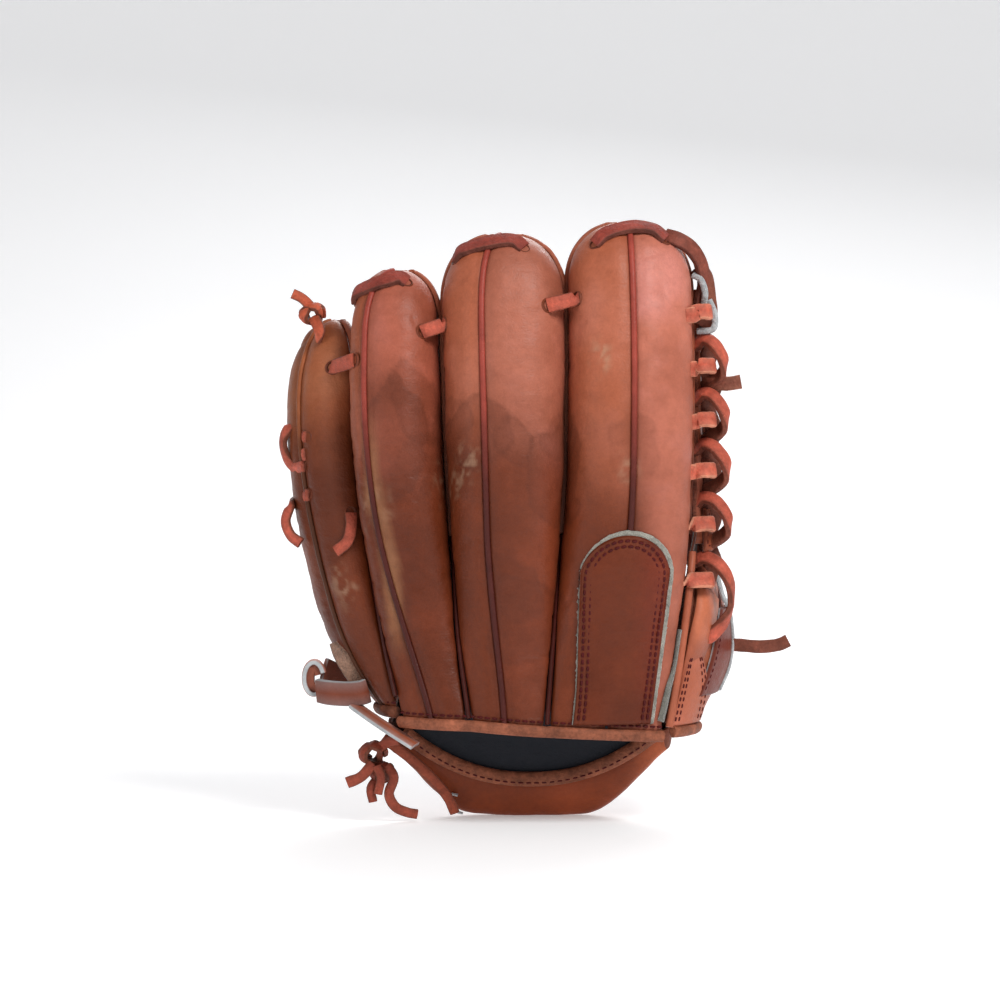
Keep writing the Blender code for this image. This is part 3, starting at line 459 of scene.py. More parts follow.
def solid(name, points, faces, colours, materials, face_material=None, sharp=55):
    """An object from millimetre points with painted colours."""
    mesh = bpy.data.meshes.new(name)
    points = np.asarray(points, float)
    mesh.from_pydata(((points - ORIGIN) * MM).tolist(), [], [list(map(int, f)) for f in faces])
    rest = mesh.attributes.new("rest", "FLOAT_VECTOR", "POINT")
    rest.data.foreach_set("vector", (points * MM).ravel().astype(np.float32))
    col = mesh.attributes.new("col", "FLOAT_COLOR", "POINT")
    rgba = np.concatenate([np.broadcast_to(colours, points.shape), np.ones((len(points), 1))], 1)
    col.data.foreach_set("color", np.clip(rgba, 0, 1).ravel().astype(np.float32))
    for m in materials:
        mesh.materials.append(m)
    if face_material is not None:
        mesh.polygons.foreach_set("material_index", np.asarray(face_material, np.int32))
    made = bmesh.new()
    made.from_mesh(mesh)
    bmesh.ops.remove_doubles(made, verts=made.verts, dist=2e-6)
    bmesh.ops.recalc_face_normals(made, faces=made.faces)
    made.to_mesh(mesh)
    made.free()
    mesh.shade_smooth()
    mesh.set_sharp_from_angle(angle=math.radians(sharp))
    obj = bpy.data.objects.new(name, mesh)
    bpy.context.scene.collection.objects.link(obj)
    return obj


def place(obj, body, *nodes, slot="leather"):
    """Puts a look on a body, in place of the CAD nodes. Given a (body, body, start, end) blend instead of a
    body, it only bakes the look's transform into its mesh.
    """
    if isinstance(body, str):
        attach(obj, body)
    else:
        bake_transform(obj)
    if nodes:
        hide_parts(*nodes)
    return obj


def grid_faces(rows, cols, start=0):
    a = (np.arange(rows - 1)[:, None] * cols + np.arange(cols - 1)[None]).ravel() + start
    return np.stack([a, a + 1, a + cols + 1, a + cols], 1)


def ring_faces(rings, count):
    """The faces of a body made of rings of count points each: its sides, then its two ends."""
    k, i = np.meshgrid(np.arange(rings - 1) * count, np.arange(count), indexing="ij")
    j = (i + 1) % count
    sides = np.stack([k + i, k + j, k + count + j, k + count + i], -1).reshape(-1, 4).tolist()
    return sides + [list(range(count)), list(range((rings - 1) * count, rings * count))]


def shell(name, outer, colours, toward, thick=SHELL, roll=1.2, inner=SUEDE * 0.6, look=LEATHER,
          top_free=True):
    """A sheet with rounded edges. toward is a rough direction for its outer side. top_free says whether
    its last row is an edge that rounds over, as the others do."""
    outer = np.asarray(outer, float)
    rows, cols = outer.shape[:2]
    n = facing(outer, toward)
    down, over = runs(outer)
    far = np.minimum(np.minimum(over, over[:, -1:] - over), down)
    if top_free:
        far = np.minimum(far, down[-1:] - down)
    fall = roll * (1 - np.sqrt(np.clip(1 - (1 - np.clip(far / roll, 0, 1)) ** 2, 0, 1)))
    top = outer - n * fall[..., None]
    under = (outer - n * thick).reshape(-1, 3)
    count = rows * cols
    faces = grid_faces(rows, cols)
    back = grid_faces(rows, cols, count)[:, ::-1]
    rim = np.concatenate([np.arange(cols), np.arange(1, rows) * cols + cols - 1,
                          (rows - 1) * cols + np.arange(cols - 2, -1, -1),
                          np.arange(rows - 2, 0, -1) * cols])
    nxt = np.roll(rim, -1)
    edge = np.stack([rim, rim + count, nxt + count, nxt], 1)
    inner = np.broadcast_to(inner, under.shape) * (0.8 + 0.4 * fbm(under, 9, 3))[:, None]
    return solid(name, np.concatenate([top.reshape(-1, 3), under]), np.concatenate([faces, back, edge]),
                 np.concatenate([colours.reshape(-1, 3), inner]), [look, FLESH],
                 [0] * len(faces) + [1] * (len(back) + len(edge)))


def tube(name, path, normals, ring, colour, look, vary=0.25, low_shade_strength=0.0):
    """A body swept along a path. ring is a list of (normal, binormal) offsets, or one list per point.
    Its last argument darkens it in the heel half of the glove, as painted shade."""
    path = np.asarray(path, float)
    tangent = unit(np.gradient(path, axis=0))
    normals = np.broadcast_to(np.asarray(normals, float), path.shape)
    normals = unit(normals - tangent * (normals * tangent).sum(-1, keepdims=True))
    beside = np.cross(tangent, normals)
    ring = np.asarray(ring, float)
    if ring.ndim == 2:
        ring = np.broadcast_to(ring, (len(path),) + ring.shape)
    count = ring.shape[1]
    points = path[:, None] + normals[:, None] * ring[..., :1] + beside[:, None] * ring[..., 1:]
    flat = points.reshape(-1, 3)
    faces = ring_faces(len(path), count)
    shade = 1 + vary * (fbm(flat, 9, 2) - 0.5) * 2
    # painted shade: darker towards the heel
    shade = shade * (1 - low_shade_strength * smooth(235, 160, flat[:, 2]))
    if np.ndim(colour) == 2:
        colour = np.tile(colour, (len(path), 1))
    return solid(name, flat, faces, np.broadcast_to(colour, flat.shape) * shade[:, None], [look], sharp=40)


def round_ring(a, b, count=10):
    t = np.linspace(0, 2 * math.pi, count, endpoint=False)
    return np.stack([a * np.cos(t), b * np.sin(t)], 1)


def band_ring(thick, width, lip=0.45):
    """A flat lace's section with softened corners, its hair side domed a little."""
    t, w = thick / 2, width / 2
    return np.array([(-t, -w + lip), (-t + lip, -w), (t - lip, -w), (t, -w + lip), (t + 0.25, 0),
                     (t, w - lip), (t - lip, w), (-t + lip, w), (-t, w - lip), (-t + 0.1, 0)])


def respace(path, count_for):
    """Points at even steps along a path, whose first three columns are the position."""
    run = np.cumsum(np.linalg.norm(np.diff(path[:, :3], axis=0, prepend=path[:1, :3]), axis=1))
    want = np.linspace(0, run[-1], count_for(run[-1]))
    return np.stack([np.interp(want, run, column) for column in path.T], 1)


def resample(points, step):
    """The smooth line through points, as points about step apart."""
    points = np.asarray(points, float)
    at = curve(np.column_stack([np.arange(len(points)), points]))
    fine = at(np.linspace(0, len(points) - 1, len(points) * 12))
    return respace(fine, lambda length: max(int(length / step), 3) + 1)


def cord(name, marks, ring, colour, look, step=1.2, vary=0.25):
    """A tube along marks of (position, normal)."""
    data = resample([list(p) + list(n) for p, n in marks], step)
    return tube(name, data[:, :3], data[:, 3:], ring, colour, look, vary)


def hide_colours(face, side=SUEDE, back=SUEDE * 0.8):
    """Colours round a band_ring: its hair side, its two cut edges and its flesh side."""
    near = mix(face, side, 0.25)
    return np.array([back, side, side, near, face, near, side, side, back, back])


def lace(name, knots, width, thick, colour, side):
    """A flat rawhide lace through knots of (position, normal), a little uneven in width and run."""
    data = resample([list(p) + list(n) for p, n in knots], 1.4)
    path, normals = data[:, :3], unit(data[:, 3:])
    path = path + normals * ((fbm(path, 6, 9)[:, None] - 0.5) * 0.7)
    ring = band_ring(thick, width, 0.6) * (0.92 + 0.16 * fbm(path, 5, 12))[:, None, None]
    return tube(name, path, normals, ring, hide_colours(colour, side), LACE_HIDE, 0.35)


# One stitch as rings of thread: (place along it, share of the radius, share sunk into the leather).
STITCH_RINGS = ((-0.5, 0.35, 0.55), (-0.36, 0.9, 0.1), (0, 1.0, 0.0), (0.36, 0.9, 0.1), (0.5, 0.35, 0.55))
STITCH_SIDES = 6


def stitches(name, path, normals, pitch=3.6, length=2.6, radius=0.42, sink=0.1):
    """Separate thread stitches along a path."""
    data = resample(np.column_stack([path, np.broadcast_to(normals, np.shape(path))]), pitch)
    at, up = data[:, :3], unit(data[:, 3:])
    along = unit(np.gradient(at, axis=0))
    circle = 2 * math.pi * np.arange(STITCH_SIDES) / STITCH_SIDES
    one = ring_faces(len(STITCH_RINGS), STITCH_SIDES)
    points, faces = [], []
    for i in range(len(at) - 1):
        centre = (at[i] + at[i + 1]) / 2
        beside = np.cross(along[i], up[i])
        faces += [[len(points) + k for k in face] for face in one]
        for s, r, drop in STITCH_RINGS:
            for a in circle:
                rise = radius * r * math.cos(a) - sink - drop * radius * 1.6
                aside = radius * r * math.sin(a)
                points.append(centre + along[i] * s * length + up[i] * rise + beside * aside)
    points = np.array(points)
    shade = 0.8 + 0.4 * value_noise(points, 5, 4)
    return solid(name, points, faces, THREAD * shade[:, None], [YARN], sharp=80)


# --- finger backs

def wrinkled(grid, out, edge, strength, seed):
    """Padding lumps, cross creases and small dents pushed into a surface along its normals."""
    free = smooth(0, 5, edge)
    lumps = (fbm(grid, 26, 51 + seed) - 0.5) * 2.2
    dents = (fbm(grid, (9, 9, 6), 57 + seed) - 0.5) * 0.7
    folds = creases(grid, (40, 40, 13), 61 + seed, 9) * smooth(0.42, 0.62, fbm(grid, 34, 67 + seed))
    return grid + facing(grid, out) * ((lumps + dents - folds * 0.8) * free * strength)[..., None]


# Tints of the left and right finger panels: partly the leather's orange and pink tones, partly painted light
# and shade. The left panels are painted darker, as shade, and the index finger's right panel much brighter,
# as painted light.
LEFT_TINT_AND_SHADE = (0.87, 0.86, 0.8)
RIGHT_TINTS_AND_LIGHT = {"little": (1.0, 0.98, 1.1), "ring": (0.84, 0.82, 0.95), "middle": (0.86, 0.98, 1.16),
               "index": (1.08, 1.22, 1.5), "thumb": (1.0, 0.98, 1.1)}


def finger_panel(key, side, seed):
    """One leather panel of a finger back: from the side seam over to the groove of the ridge welt."""
    f = FINGERS[key]
    left = side == "left"
    share, k = rows_of(f, 130, 36, 88.5)
    edge_turn = 180.0 if left else 0.0
    gap = -0.4 if left else 0.4
    middle = level_at(f, share, 90)
    ridge = ridge_turn(f, middle, gap / np.maximum(section(f, middle, k)[3], 1.0))
    turn = edge_turn + (ridge[:, None] - edge_turn) * np.linspace(0, 1, 40)[None]
    level = level_at(f, share[:, None], turn)
    grid = back_at(f, turn, level, share=k[:, None] * np.ones_like(turn))
    over = runs(grid)[1]
    to_ridge = over[:, -1:] - over
    out = np.append(section(f, 180.0)[2], 0)
    # The leather dips to both seams and crowns between them, with a tucked row of stitching by the welt.
    dip = -0.9 * np.exp(-(to_ridge / 1.7) ** 2) - 0.3 * np.exp(-((to_ridge - 3.4) / 0.9) ** 2)
    dip += 0.5 * np.exp(-((to_ridge - 8) / 5.0) ** 2) - 0.7 * np.exp(-(over / 1.8) ** 2)
    grid = grid + facing(grid, out) * (dip * smooth(0, 0.5, k)[:, None])[..., None]
    edge = np.minimum(np.minimum(to_ridge, over + 1.5), (level - f["foot"][0]) + 3)
    grid = wrinkled(grid, out, edge, 0.8, seed)
    base, dark, light = (BROWN, BROWN_DARK, BROWN_LIGHT) if key == "little" else (TAN, TAN_DARK, TAN_LIGHT)
    # the side's tint, which paints light and shade as well as tone
    tint = np.array(LEFT_TINT_AND_SHADE if left else RIGHT_TINTS_AND_LIGHT[key])
    colours = paint(grid, np.minimum(to_ridge, over), base * tint, dark, light * tint, seed, True)
    obj = shell(f"{key}_back_{side}_look", grid, colours, out, roll=0.75, inner=dark, top_free=False)
    place(obj, BODY[key], f"{key}_back_{side}")


def finger_welt(key):
    """The rolled welt along a finger's ridge. The index finger's stops at its hood."""
    f = FINGERS[key]
    share, k = rows_of(f, 150, 30, 84)
    level = level_at(f, share, 90.0)
    if key == "index":
        keep = level > 146
        level, k = level[keep], k[keep]
    out = xyz(section(f, level)[2], 0 * level)
    path = back_at(f, ridge_turn(f, level), level, -0.15, share=k)
    path += out * ((fbm(path, 12, 3)[:, None] - 0.5) * 0.5)
    colour = BROWN if key == "little" else WELT_RED
    obj = tube(f"{key}_ridge_welt_look", path, out, round_ring(1.15, 1.5, 12), colour, LEATHER, low_shade_strength=0.78)
    place(obj, BODY[key], f"{key}_ridge_welt", slot="welt")


def finger_rim(key):
    """The seam that closes a finger's back onto its palm side, up one edge, over the tip and down.
    Between two fingers it stops just under the crotch."""
    f = FINGERS[key]
    share, k = rows_of(f, 110, 40, 90)
    level = mix(f["foot"][0] + 2.0, f["top"], share)
    centre, across, out, half, _ = section(f, level, k)
    sink = xyz(-out * 1.7, 0 * level)
    reach = across * (half + 0.2)[:, None]
    left = xyz(centre - reach, level) + sink
    right = xyz(centre + reach, level) + sink
    start = 0 if key in ("little", "thumb") else int((level < CROTCH - 4).sum())
    stop = int((level < 232).sum()) if key == "little" else start
    path = np.concatenate([left[start:], right[stop:-1][::-1]])
    across = xyz(across, 0 * level)
    side = np.concatenate([-across[start:], across[stop:-1][::-1]])
    path[:, 2] = np.minimum(path[:, 2], f["top"] - 1.5)
    path = path + (fbm(path, 7, 5)[:, None] - 0.5) * 0.5
    obj = tube(f"{key}_rim", path, side + np.array([0, 0, 1e-3]), round_ring(1.5, 2.1), TAN * 0.75, LEATHER,
               low_shade_strength=0.6)
    place(obj, BODY[key])


for order, key in enumerate(FINGERS):
    finger_panel(key, "left", order)
    finger_panel(key, "right", order + 5)
    finger_welt(key)
    finger_rim(key)


# --- palm, heel and finger fronts

RIM_CENTRE, RIM_HALF = (12, 32), (76, 26)
RIM_LOW, RIM_RISE = 20.0, 29.0
RIM_LEFT, RIM_RIGHT = -58.0, 76.0
RIM_MIDDLE = 8.0
# The heel roll's section down from its rim: (place along it, depth outwards, height).
HEEL = curve([(0, 0, 0), (1, 1.5, -10), (2, 8, -23), (3, 17, -23), (4, 23.5, -14), (5, 26, 2), (6, 27, 20)])
POCKET_AT, POCKET_FADE = (30, 125), (15, 60)


def palm_line(k):
    """Seam k on the palm side, all the way up."""
    above = [(level, x, y + SHELL + 1.0) for level, x, y in SEAM[k] if level >= CROTCH + 15]
    return curve(PALM[k] + above)


PALM_AT = [palm_line(k) for k in range(5)]


def front_at(left, right, share, level, cap):
    """A point on a finger's palm side. share runs 0 to 1 from the line left to the line right."""
    a, b = left(level), right(level)
    width = np.linalg.norm(b - a, axis=-1)
    across = (b - a) / width[..., None]
    ahead = np.stack([-across[..., 1], across[..., 0]], -1)
    half = (width / 2 - side_room(level) * smooth(CROTCH - 2, CROTCH + 12, level)) * cap
    c = 2 * share - 1
    crown = FRONT_BULGE * smooth(CROTCH - 18, CROTCH + 15, level) * (1 - np.abs(c) ** ROUNDNESS) * cap
    return xyz((a + b) / 2 + across * (c * half)[..., None] + ahead * crown[..., None], level)


def rim_at(x):
    """(position, outward direction) of the heel's rim."""
    dx = (x - RIM_CENTRE[0]) / RIM_HALF[0]
    dy = np.sqrt(np.maximum(1 - dx * dx, 0.02))
    rise = np.minimum(np.abs((x - RIM_MIDDLE) / 70) ** 2.2, 1.0)
    out = unit(np.stack([dx / RIM_HALF[0], dy / RIM_HALF[1]], -1))
    return np.stack([x, RIM_CENTRE[1] + RIM_HALF[1] * dy, RIM_LOW + RIM_RISE * rise], -1), out


def heel_share(x):
    """How full the heel roll is: it thins towards its ends."""
    return 1 - 0.6 * smooth(25, 68, np.abs(x - RIM_MIDDLE))


def above_sole(z):
    """Height kept above the resting plane, with a soft turn where it would pass below."""
    return np.maximum(0.5 * (z + np.sqrt(z * z + 36)) - 1.9, 0.0)


def palm_grids(per):
    """The low sheet (rim, heel roll, pocket), then the fronts of three fingers, per columns a finger."""
    fingers = [FINGERS[key] for key in ("ring", "middle", "index")]
    rim, out = rim_at(np.linspace(RIM_LEFT, RIM_RIGHT, 3 * per + 1))
    share = heel_share(rim[:, 0])
    rows = []
    for s in np.linspace(0, 6, 40):
        depth, height = HEEL(np.array(s))
        z = above_sole(rim[:, 2] + height * share)
        rows.append(np.column_stack([rim[:, :2] + out * (depth * share)[:, None], z]))
    for level in np.linspace(62, CROTCH, 50):
        parts = []
        for k, f in enumerate(fingers, 1):
            t = np.arange(per + (k == 3)) / per
            at = np.full(len(t), level)
            parts.append(front_at(PALM_AT[k], PALM_AT[k + 1], t, at, cap_share(f, level)))
        rows.append(np.concatenate(parts))
    low = np.array(rows)
    # smooth the turn from the heel into the palm
    for _ in range(10):
        low[36:50] = 0.5 * low[36:50] + 0.25 * (low[35:49] + low[37:51])
    grids = [low]
    for k, f in enumerate(fingers, 1):
        level, cap = levels_over(f, CROTCH, 60, 89)
        t, level = np.meshgrid(np.arange(per + 1) / per, level)
        grids.append(front_at(PALM_AT[k], PALM_AT[k + 1], t, level, cap[:, None] + 0 * t))
    return grids


def palm():
    """The one-piece palm leather. Its sheets meet at the crotch, where their points are welded."""
    points, faces, under, colours = [], [], [], []
    base = 0
    for g, grid in enumerate(palm_grids(26)):
        rows, cols = grid.shape[:2]
        column = np.minimum(np.arange(cols), np.arange(cols)[::-1])
        n = facing(grid, (0, 1, 0))
        if g == 0:
            upper = (n[60:] * np.array([0, 1, 0.2])).sum()
            n = n if upper > 0 else -n
            edge = np.minimum(np.arange(rows)[:, None] * 1.5, column[None] * 1.7)
        else:
            edge = column[None] * 1.9 + 60 * smooth(CROTCH + 16, CROTCH, grid[..., 2])
        p = wrinkled(grid, n, edge + 1.0, 0.9, 90)
        p[..., 2] = np.maximum(p[..., 2], 0.2)
        painted = paint(p, edge + 2, TAN * 0.9, TAN_DARK, TAN_LIGHT, 3)
        from_pocket = np.hypot(p[..., 0] - POCKET_AT[0], (p[..., 2] - POCKET_AT[1]) * 0.9)
        dark = smooth(POCKET_FADE[1], POCKET_FADE[0], from_pocket) * 0.5
        painted = mix(painted, POCKET, dark[..., None])
        painted = painted * (1 + np.array([0.55, 0.4, 0.05]) * smooth(62, 34, p[..., 2])[..., None])
        points.append(p.reshape(-1, 3))
        under.append((p - n * SHELL).reshape(-1, 3))
        colours.append(painted.reshape(-1, 3))
        faces.append(grid_faces(rows, cols, base))
        base += rows * cols
    points, under, colours, faces = (np.concatenate(v) for v in (points, under, colours, faces))
    # weld the outer sheets, then close the sheet round its free edges
    key = np.round(points / 0.02).astype(np.int64)
    _, first, index = np.unique(key, axis=0, return_index=True, return_inverse=True)
    faces = index.reshape(-1)[faces]
    points, under, colours = points[first], under[first], colours[first]
    faces = faces[[len(set(f)) == 4 for f in faces.tolist()]]
    ends = np.concatenate([faces[:, [0, 1]], faces[:, [1, 2]], faces[:, [2, 3]], faces[:, [3, 0]]])
    _, where, count = np.unique(np.sort(ends, 1), axis=0, return_inverse=True, return_counts=True)
    free = ends[count[where.reshape(-1)] == 1]
    n = len(points)
    walls = np.stack([free[:, 1], free[:, 0], free[:, 0] + n, free[:, 1] + n], 1)
    obj = solid("palm_leather", np.concatenate([points, under]),
                np.concatenate([faces, faces[:, ::-1] + n, walls]),
                np.concatenate([colours, np.broadcast_to(SUEDE * 0.5, colours.shape)]), [LEATHER, FLESH],
                [0] * len(faces) + [1] * (len(faces) + len(walls)))
    place(obj, "hand", "palm_shell")


palm()


# --- finding places on the surface

EYE = 2000.0
EYE_LEVEL = 165.0


def turn_seen(key, x, z):
    """The turn on a finger's back at level z that is seen at x from in front."""
    turn = np.linspace(176, 4, 345)
    p = back_at(FINGERS[key], turn, np.full(len(turn), float(z)))
    return turn[np.abs(p[:, 0] / (1 + p[:, 1] / EYE) - x).argmin()]


def on(key, x, z, proud=1.4):
    """(position, normal) on a finger's back at level z, where it is seen at x from in front."""
    f = FINGERS[key]
    t = turn_seen(key, x, z)
    level = np.full(1, float(z))
    over = back_at(f, np.array(t + 1.5), level[0]) - back_at(f, np.array(t - 1.5), level[0])
    up = back_at(f, np.array(t), level[0] + 0.5) - back_at(f, np.array(t), level[0] - 0.5)
    n = unit(np.cross(over, up))
    n = n if n.dot(np.append(section(f, level[0])[2], 0.3)) > 0 else -n
    return back_at(f, np.array([t]), level)[0] + n * proud, n


def seen(x, z, y, normal=(0, -1, 0)):
    """(position, normal) at depth y, where it is seen at (x, z) from in front."""
    spread = 1 + y / EYE
    return (x * spread, y, EYE_LEVEL + (z - EYE_LEVEL) * spread), normal


def hole(name, place_at, body, size):
    """A punched hole: a dimple with a soft raised lip, painted darker inwards as the shade inside it."""
    p, n = place_at
    n = unit(n)
    a = unit(np.cross(n, [0, 0, 1.0]))
    b = np.cross(n, a)
    count = 16
    t = np.linspace(0, 2 * math.pi, count, endpoint=False)
    circle = np.cos(t)[:, None] * a + np.sin(t)[:, None] * b
    rings = [(size * 1.45, -0.6), (size * 1.25, 0.25), (size * 0.95, 0.1), (size * 0.8, -1.2), (0.1, -1.3)]
    points = np.concatenate([p + n * height + circle * r for r, height in rings])
    # painted shade: the wall darkens inwards to a near-black bottom
    colours = [TAN_DARK, TAN_DARK * 0.8, TAN_DARK * 0.4, LINING * 0.3, LINING * 0.3]
    colours = np.repeat(colours, count, axis=0)
    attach(solid(name, points, ring_faces(len(rings), count), colours, [LEATHER]), body)


def surface_lace(name, body, marks, width, *nodes, colour=LACE, thick=2.6, side=SUEDE):
    """A lace through (finger, x, z, proud) marks or (position, normal) pairs."""
    knots = [on(*m) if isinstance(m[0], str) else m for m in marks]
    place(lace(name, knots, width, thick, colour, side), body, *nodes, slot="lace")


# --- seams between the fingers

def seam_welts():
    """The welts in the seams. They sink in under the crotches that they end at."""
    for name, k, low, high in (("little_ring", 1, 65, 240), ("ring_middle", 2, 55, 152),
                               ("middle_index", 3, 52, 152)):
        level = np.linspace(low, high, int((high - low) / 1.5))
        lift = mix(2.3, 0.8, smooth(60, 110, level)) - 5 * smooth(high - 45, high, level)
        path = xyz(curve(SEAM[k])(level) - np.stack([0 * lift, lift], 1), level)
        obj = tube(f"welt_{name}", path, (0, -1, 0), round_ring(1.9, 1.2), WELT_RED * 0.9, LEATHER, low_shade_strength=0.8)
        place(obj, "hand", f"seam_welt_{name}", slot="welt")
    low, high = 50, 138
    level = np.linspace(low, high, int((high - low) / 1.5))
    lift = 0.8 - 5 * smooth(115, high, level)
    path = xyz(curve(SEAM[4])(level) + np.array([2.6, 0.5]) - np.stack([0 * lift, lift], 1), level)
    place(tube("welt_index_thumb", path, (0, -1, 0), round_ring(1.9, 2.0, 12), TAN * 0.8, LEATHER), "thumb")


seam_welts()


# --- the hood on the index finger

HOOD_TOP, HOOD_HALF, HOOD_FOOT = 147.0, 21.0, 52.0
HOOD_ROWS = (2.4, 5.2)  # how far in from the hood's edge each row of stitches runs


def hood_point(offset, level, proud):
    """A point on the index finger, offset right of the hood's middle line. The hood narrows downwards."""
    f = FINGERS["index"]
    high = smooth(HOOD_FOOT, 135, level)
    offset = offset * mix(0.85, 0.97, high) + mix(1.7, -1.0, high)
    turn = turn_of(np.clip(offset / section(f, level)[3], -1, 1), level)
    return back_at(f, turn, level, proud)


def hood_grid(proud, grow, shift=0.0):
    half, top = HOOD_HALF + grow, HOOD_TOP + grow
    v = np.sin(np.linspace(-math.pi / 2, math.pi / 2, 60))[None]
    arch = top - half * (1 - np.sqrt(np.maximum(1 - v * v * 0.97, 0)))
    level = mix(HOOD_FOOT, arch, np.linspace(0, 1, 90)[:, None])
    return hood_point(v * half + shift + 0 * level, level, proud)


def hood_line(inset):
    """(path, normals) of a row of stitches up one side of the hood, round its arch and down."""
    half = HOOD_HALF - inset
    centre = HOOD_TOP - HOOD_HALF
    up = np.linspace(HOOD_FOOT + 2, centre, 24)
    a = np.linspace(math.pi, 0, 40)[1:-1]
    offset = np.concatenate([np.full(24, -half), half * np.cos(a), np.full(24, half)])
    level = np.concatenate([up, centre + half * np.sin(a), up[::-1]])
    path = hood_point(offset, level, 3.5)
    return path, hood_point(offset, level, 4.5) - path


def hood():
    out = np.append(section(FINGERS["index"], 100.0)[2], 0)
    felt = hood_grid(1.9, 2.4, 1.0)
    felt = felt + facing(felt, out) * ((fbm(felt, 2.2, 3)[..., None] - 0.5) * 0.9)
    colours = FELT * (0.65 + 0.8 * fbm(felt, 3, 8))[..., None]
    obj = shell("finger_hood_felt_look", felt, colours, out, 1.5, 0.7, FELT * 0.8, WOOL)
    place(obj, "hand", "finger_hood_felt", slot="felt")
    top = hood_grid(3.6, 0.0)
    down, over = runs(top)
    edge = np.minimum(np.minimum(over, over[:, -1:] - over), down[-1:] - down)
    groove = sum(np.exp(-((edge - inset) / 0.8) ** 2) for inset in HOOD_ROWS)
    dome = smooth(4, 16, edge) * 0.9 + (fbm(top, 15, 2) - 0.5) * 0.8 * smooth(4, 9, edge)
    top = top + facing(top, out) * (dome - groove * 0.5)[..., None]
    colours = paint(top, edge * 1.4, RED_BROWN * (1.22, 1.05, 0.95), RED_BROWN * 0.6, RUST, 17)
    place(shell("finger_hood_look", top, colours, out, 2.0, 0.9), "hand", "finger_hood")
    for i, inset in enumerate(HOOD_ROWS):
        place(stitches(f"hood_stitches_{i}", *hood_line(inset), 3.5, 2.9, 0.74, 0.0), "hand")


hood()


# --- bindings and their stitching

def bound_edge(body, fingers, toward, node, colour=BINDING):
    """A rolled leather binding along the wrist edge of the fingers, stitched through its upper lip."""
    path = []
    for key in fingers:
        turn = np.linspace(178, 2, 90)
        path.append(back_at(FINGERS[key], turn, level_at(FINGERS[key], 0.0, turn)))
    path = np.concatenate(path)
    for _ in range(260):
        path[1:-1] = 0.5 * path[1:-1] + 0.25 * (path[:-2] + path[2:])
    path = respace(path, lambda length: int(length / 1.2))
    n = unit(np.cross(unit(np.gradient(path, axis=0)), [0, 0, 1.0]))
    n = n if (n * np.array(toward)).sum() > 0 else -n
    t = np.linspace(0, 2 * math.pi, 14, endpoint=False)
    ring = np.stack([2.5 * np.cos(t) * (1 - 0.25 * np.sin(t)), 3.0 * np.sin(t)], 1)
    low = path - np.array([0, 0, 2.6]) + n * (0.5 + (fbm(path, 9, 3)[:, None] - 0.5) * 0.5)
    name = f"{body}_binding_look" if node != "wrist_binding" else "wrist_binding_look"
    place(tube(name, low, n, ring, colour, SCUFFED, 0.5), body, node, slot="binding")
    line = path + np.array([0, 0, 2.2]) + n * 1.1
    place(stitches(name + "_stitches", line, n, 3.8, 2.9, 0.62, 0.0), body)


bound_edge("hand", ("ring", "middle", "index"), (0, -1, 0), "wrist_binding")
bound_edge("little", ("little",), (-1, -0.4, 0), "little_side_binding", BINDING * 0.5)
bound_edge("thumb", ("thumb",), (1, -0.3, 0), "thumb_side_binding")


def heel_rim():
    rim, out = rim_at(np.linspace(RIM_LEFT + 0.5, RIM_RIGHT - 0.5, 150))
    out = xyz(out, np.zeros(len(rim)))
    path = rim - out * 2.4 - np.array([0, 0, 0.2]) + out * ((fbm(rim, 10, 4)[:, None] - 0.5) * 0.8)
    obj = tube("heel_binding_look", path, out, round_ring(2.6, 3.9, 14), BINDING * 0.9, SCUFFED, 0.5)
    place(obj, "hand", "heel_binding", slot="binding")
    line = rim - out * 4.9 - np.array([0, 0, 2.0])
    place(stitches("heel_binding_stitches", line, -out, 4.0, 2.8, 0.45), "hand")


heel_rim()


def heel_ends():
    """The turned-in ends of the heel roll."""
    for name, x, sign in (("left", RIM_LEFT, -1.0), ("right", RIM_RIGHT, 1.0)):
        rim, out = rim_at(np.array([x]))
        share = heel_share(x)
        depth, height = HEEL(np.linspace(0, 6, 61)).T
        line = xyz(rim[0, :2] + out * (depth * share)[:, None], above_sole(rim[0, 2] + height * share))
        t = np.linspace(0, 1, 14)[None, :, None]
        grid = mix(line[:31, None], line[60:29:-1, None], t)
        puff = np.sin(math.pi * t[..., 0]) * np.minimum(np.linspace(3, 0, 31), 2.2)[:, None]
        grid = grid + np.array([sign, 0, 0]) * puff[..., None]
        colours = paint(grid, puff * 3, TAN * 0.8, stained=True)
        place(shell(f"heel_end_{name}", grid, colours, (sign, 0, 0), 1.5, 0.3), "hand")


heel_ends()


# --- palm side of the outer stalls, gussets

def outer_front(key, left, right, low, toward, seed, seams):
    """The palm-side leather of the little finger or the thumb, stitched along the given columns."""
    f = FINGERS[key]
    level, cap = levels_over(f, low, 110, 88)
    t, level = np.meshgrid(np.linspace(0, 1, 40), level)
    grid = front_at(curve(left), curve(right), t, level, cap[:, None] + 0 * t)
    n = facing(grid, toward)
    over = runs(grid)[1]
    edge = np.minimum(over, over[:, -1:] - over)
    grid = wrinkled(grid, n, edge, 0.7, seed)
    name = f"{key}_palm_side"
    colours = paint(grid, edge, TAN * 0.92, TAN_DARK, TAN_LIGHT, seed)
    place(shell(name, grid, colours, toward, 2.2, 1.0), BODY[key], f"{key}_front")
    for i, column in enumerate(seams):
        line = grid[2:-14, column]
        place(stitches(f"{name}_stitches_{i}", line, n[2:-14, column], 3.8), BODY[key])


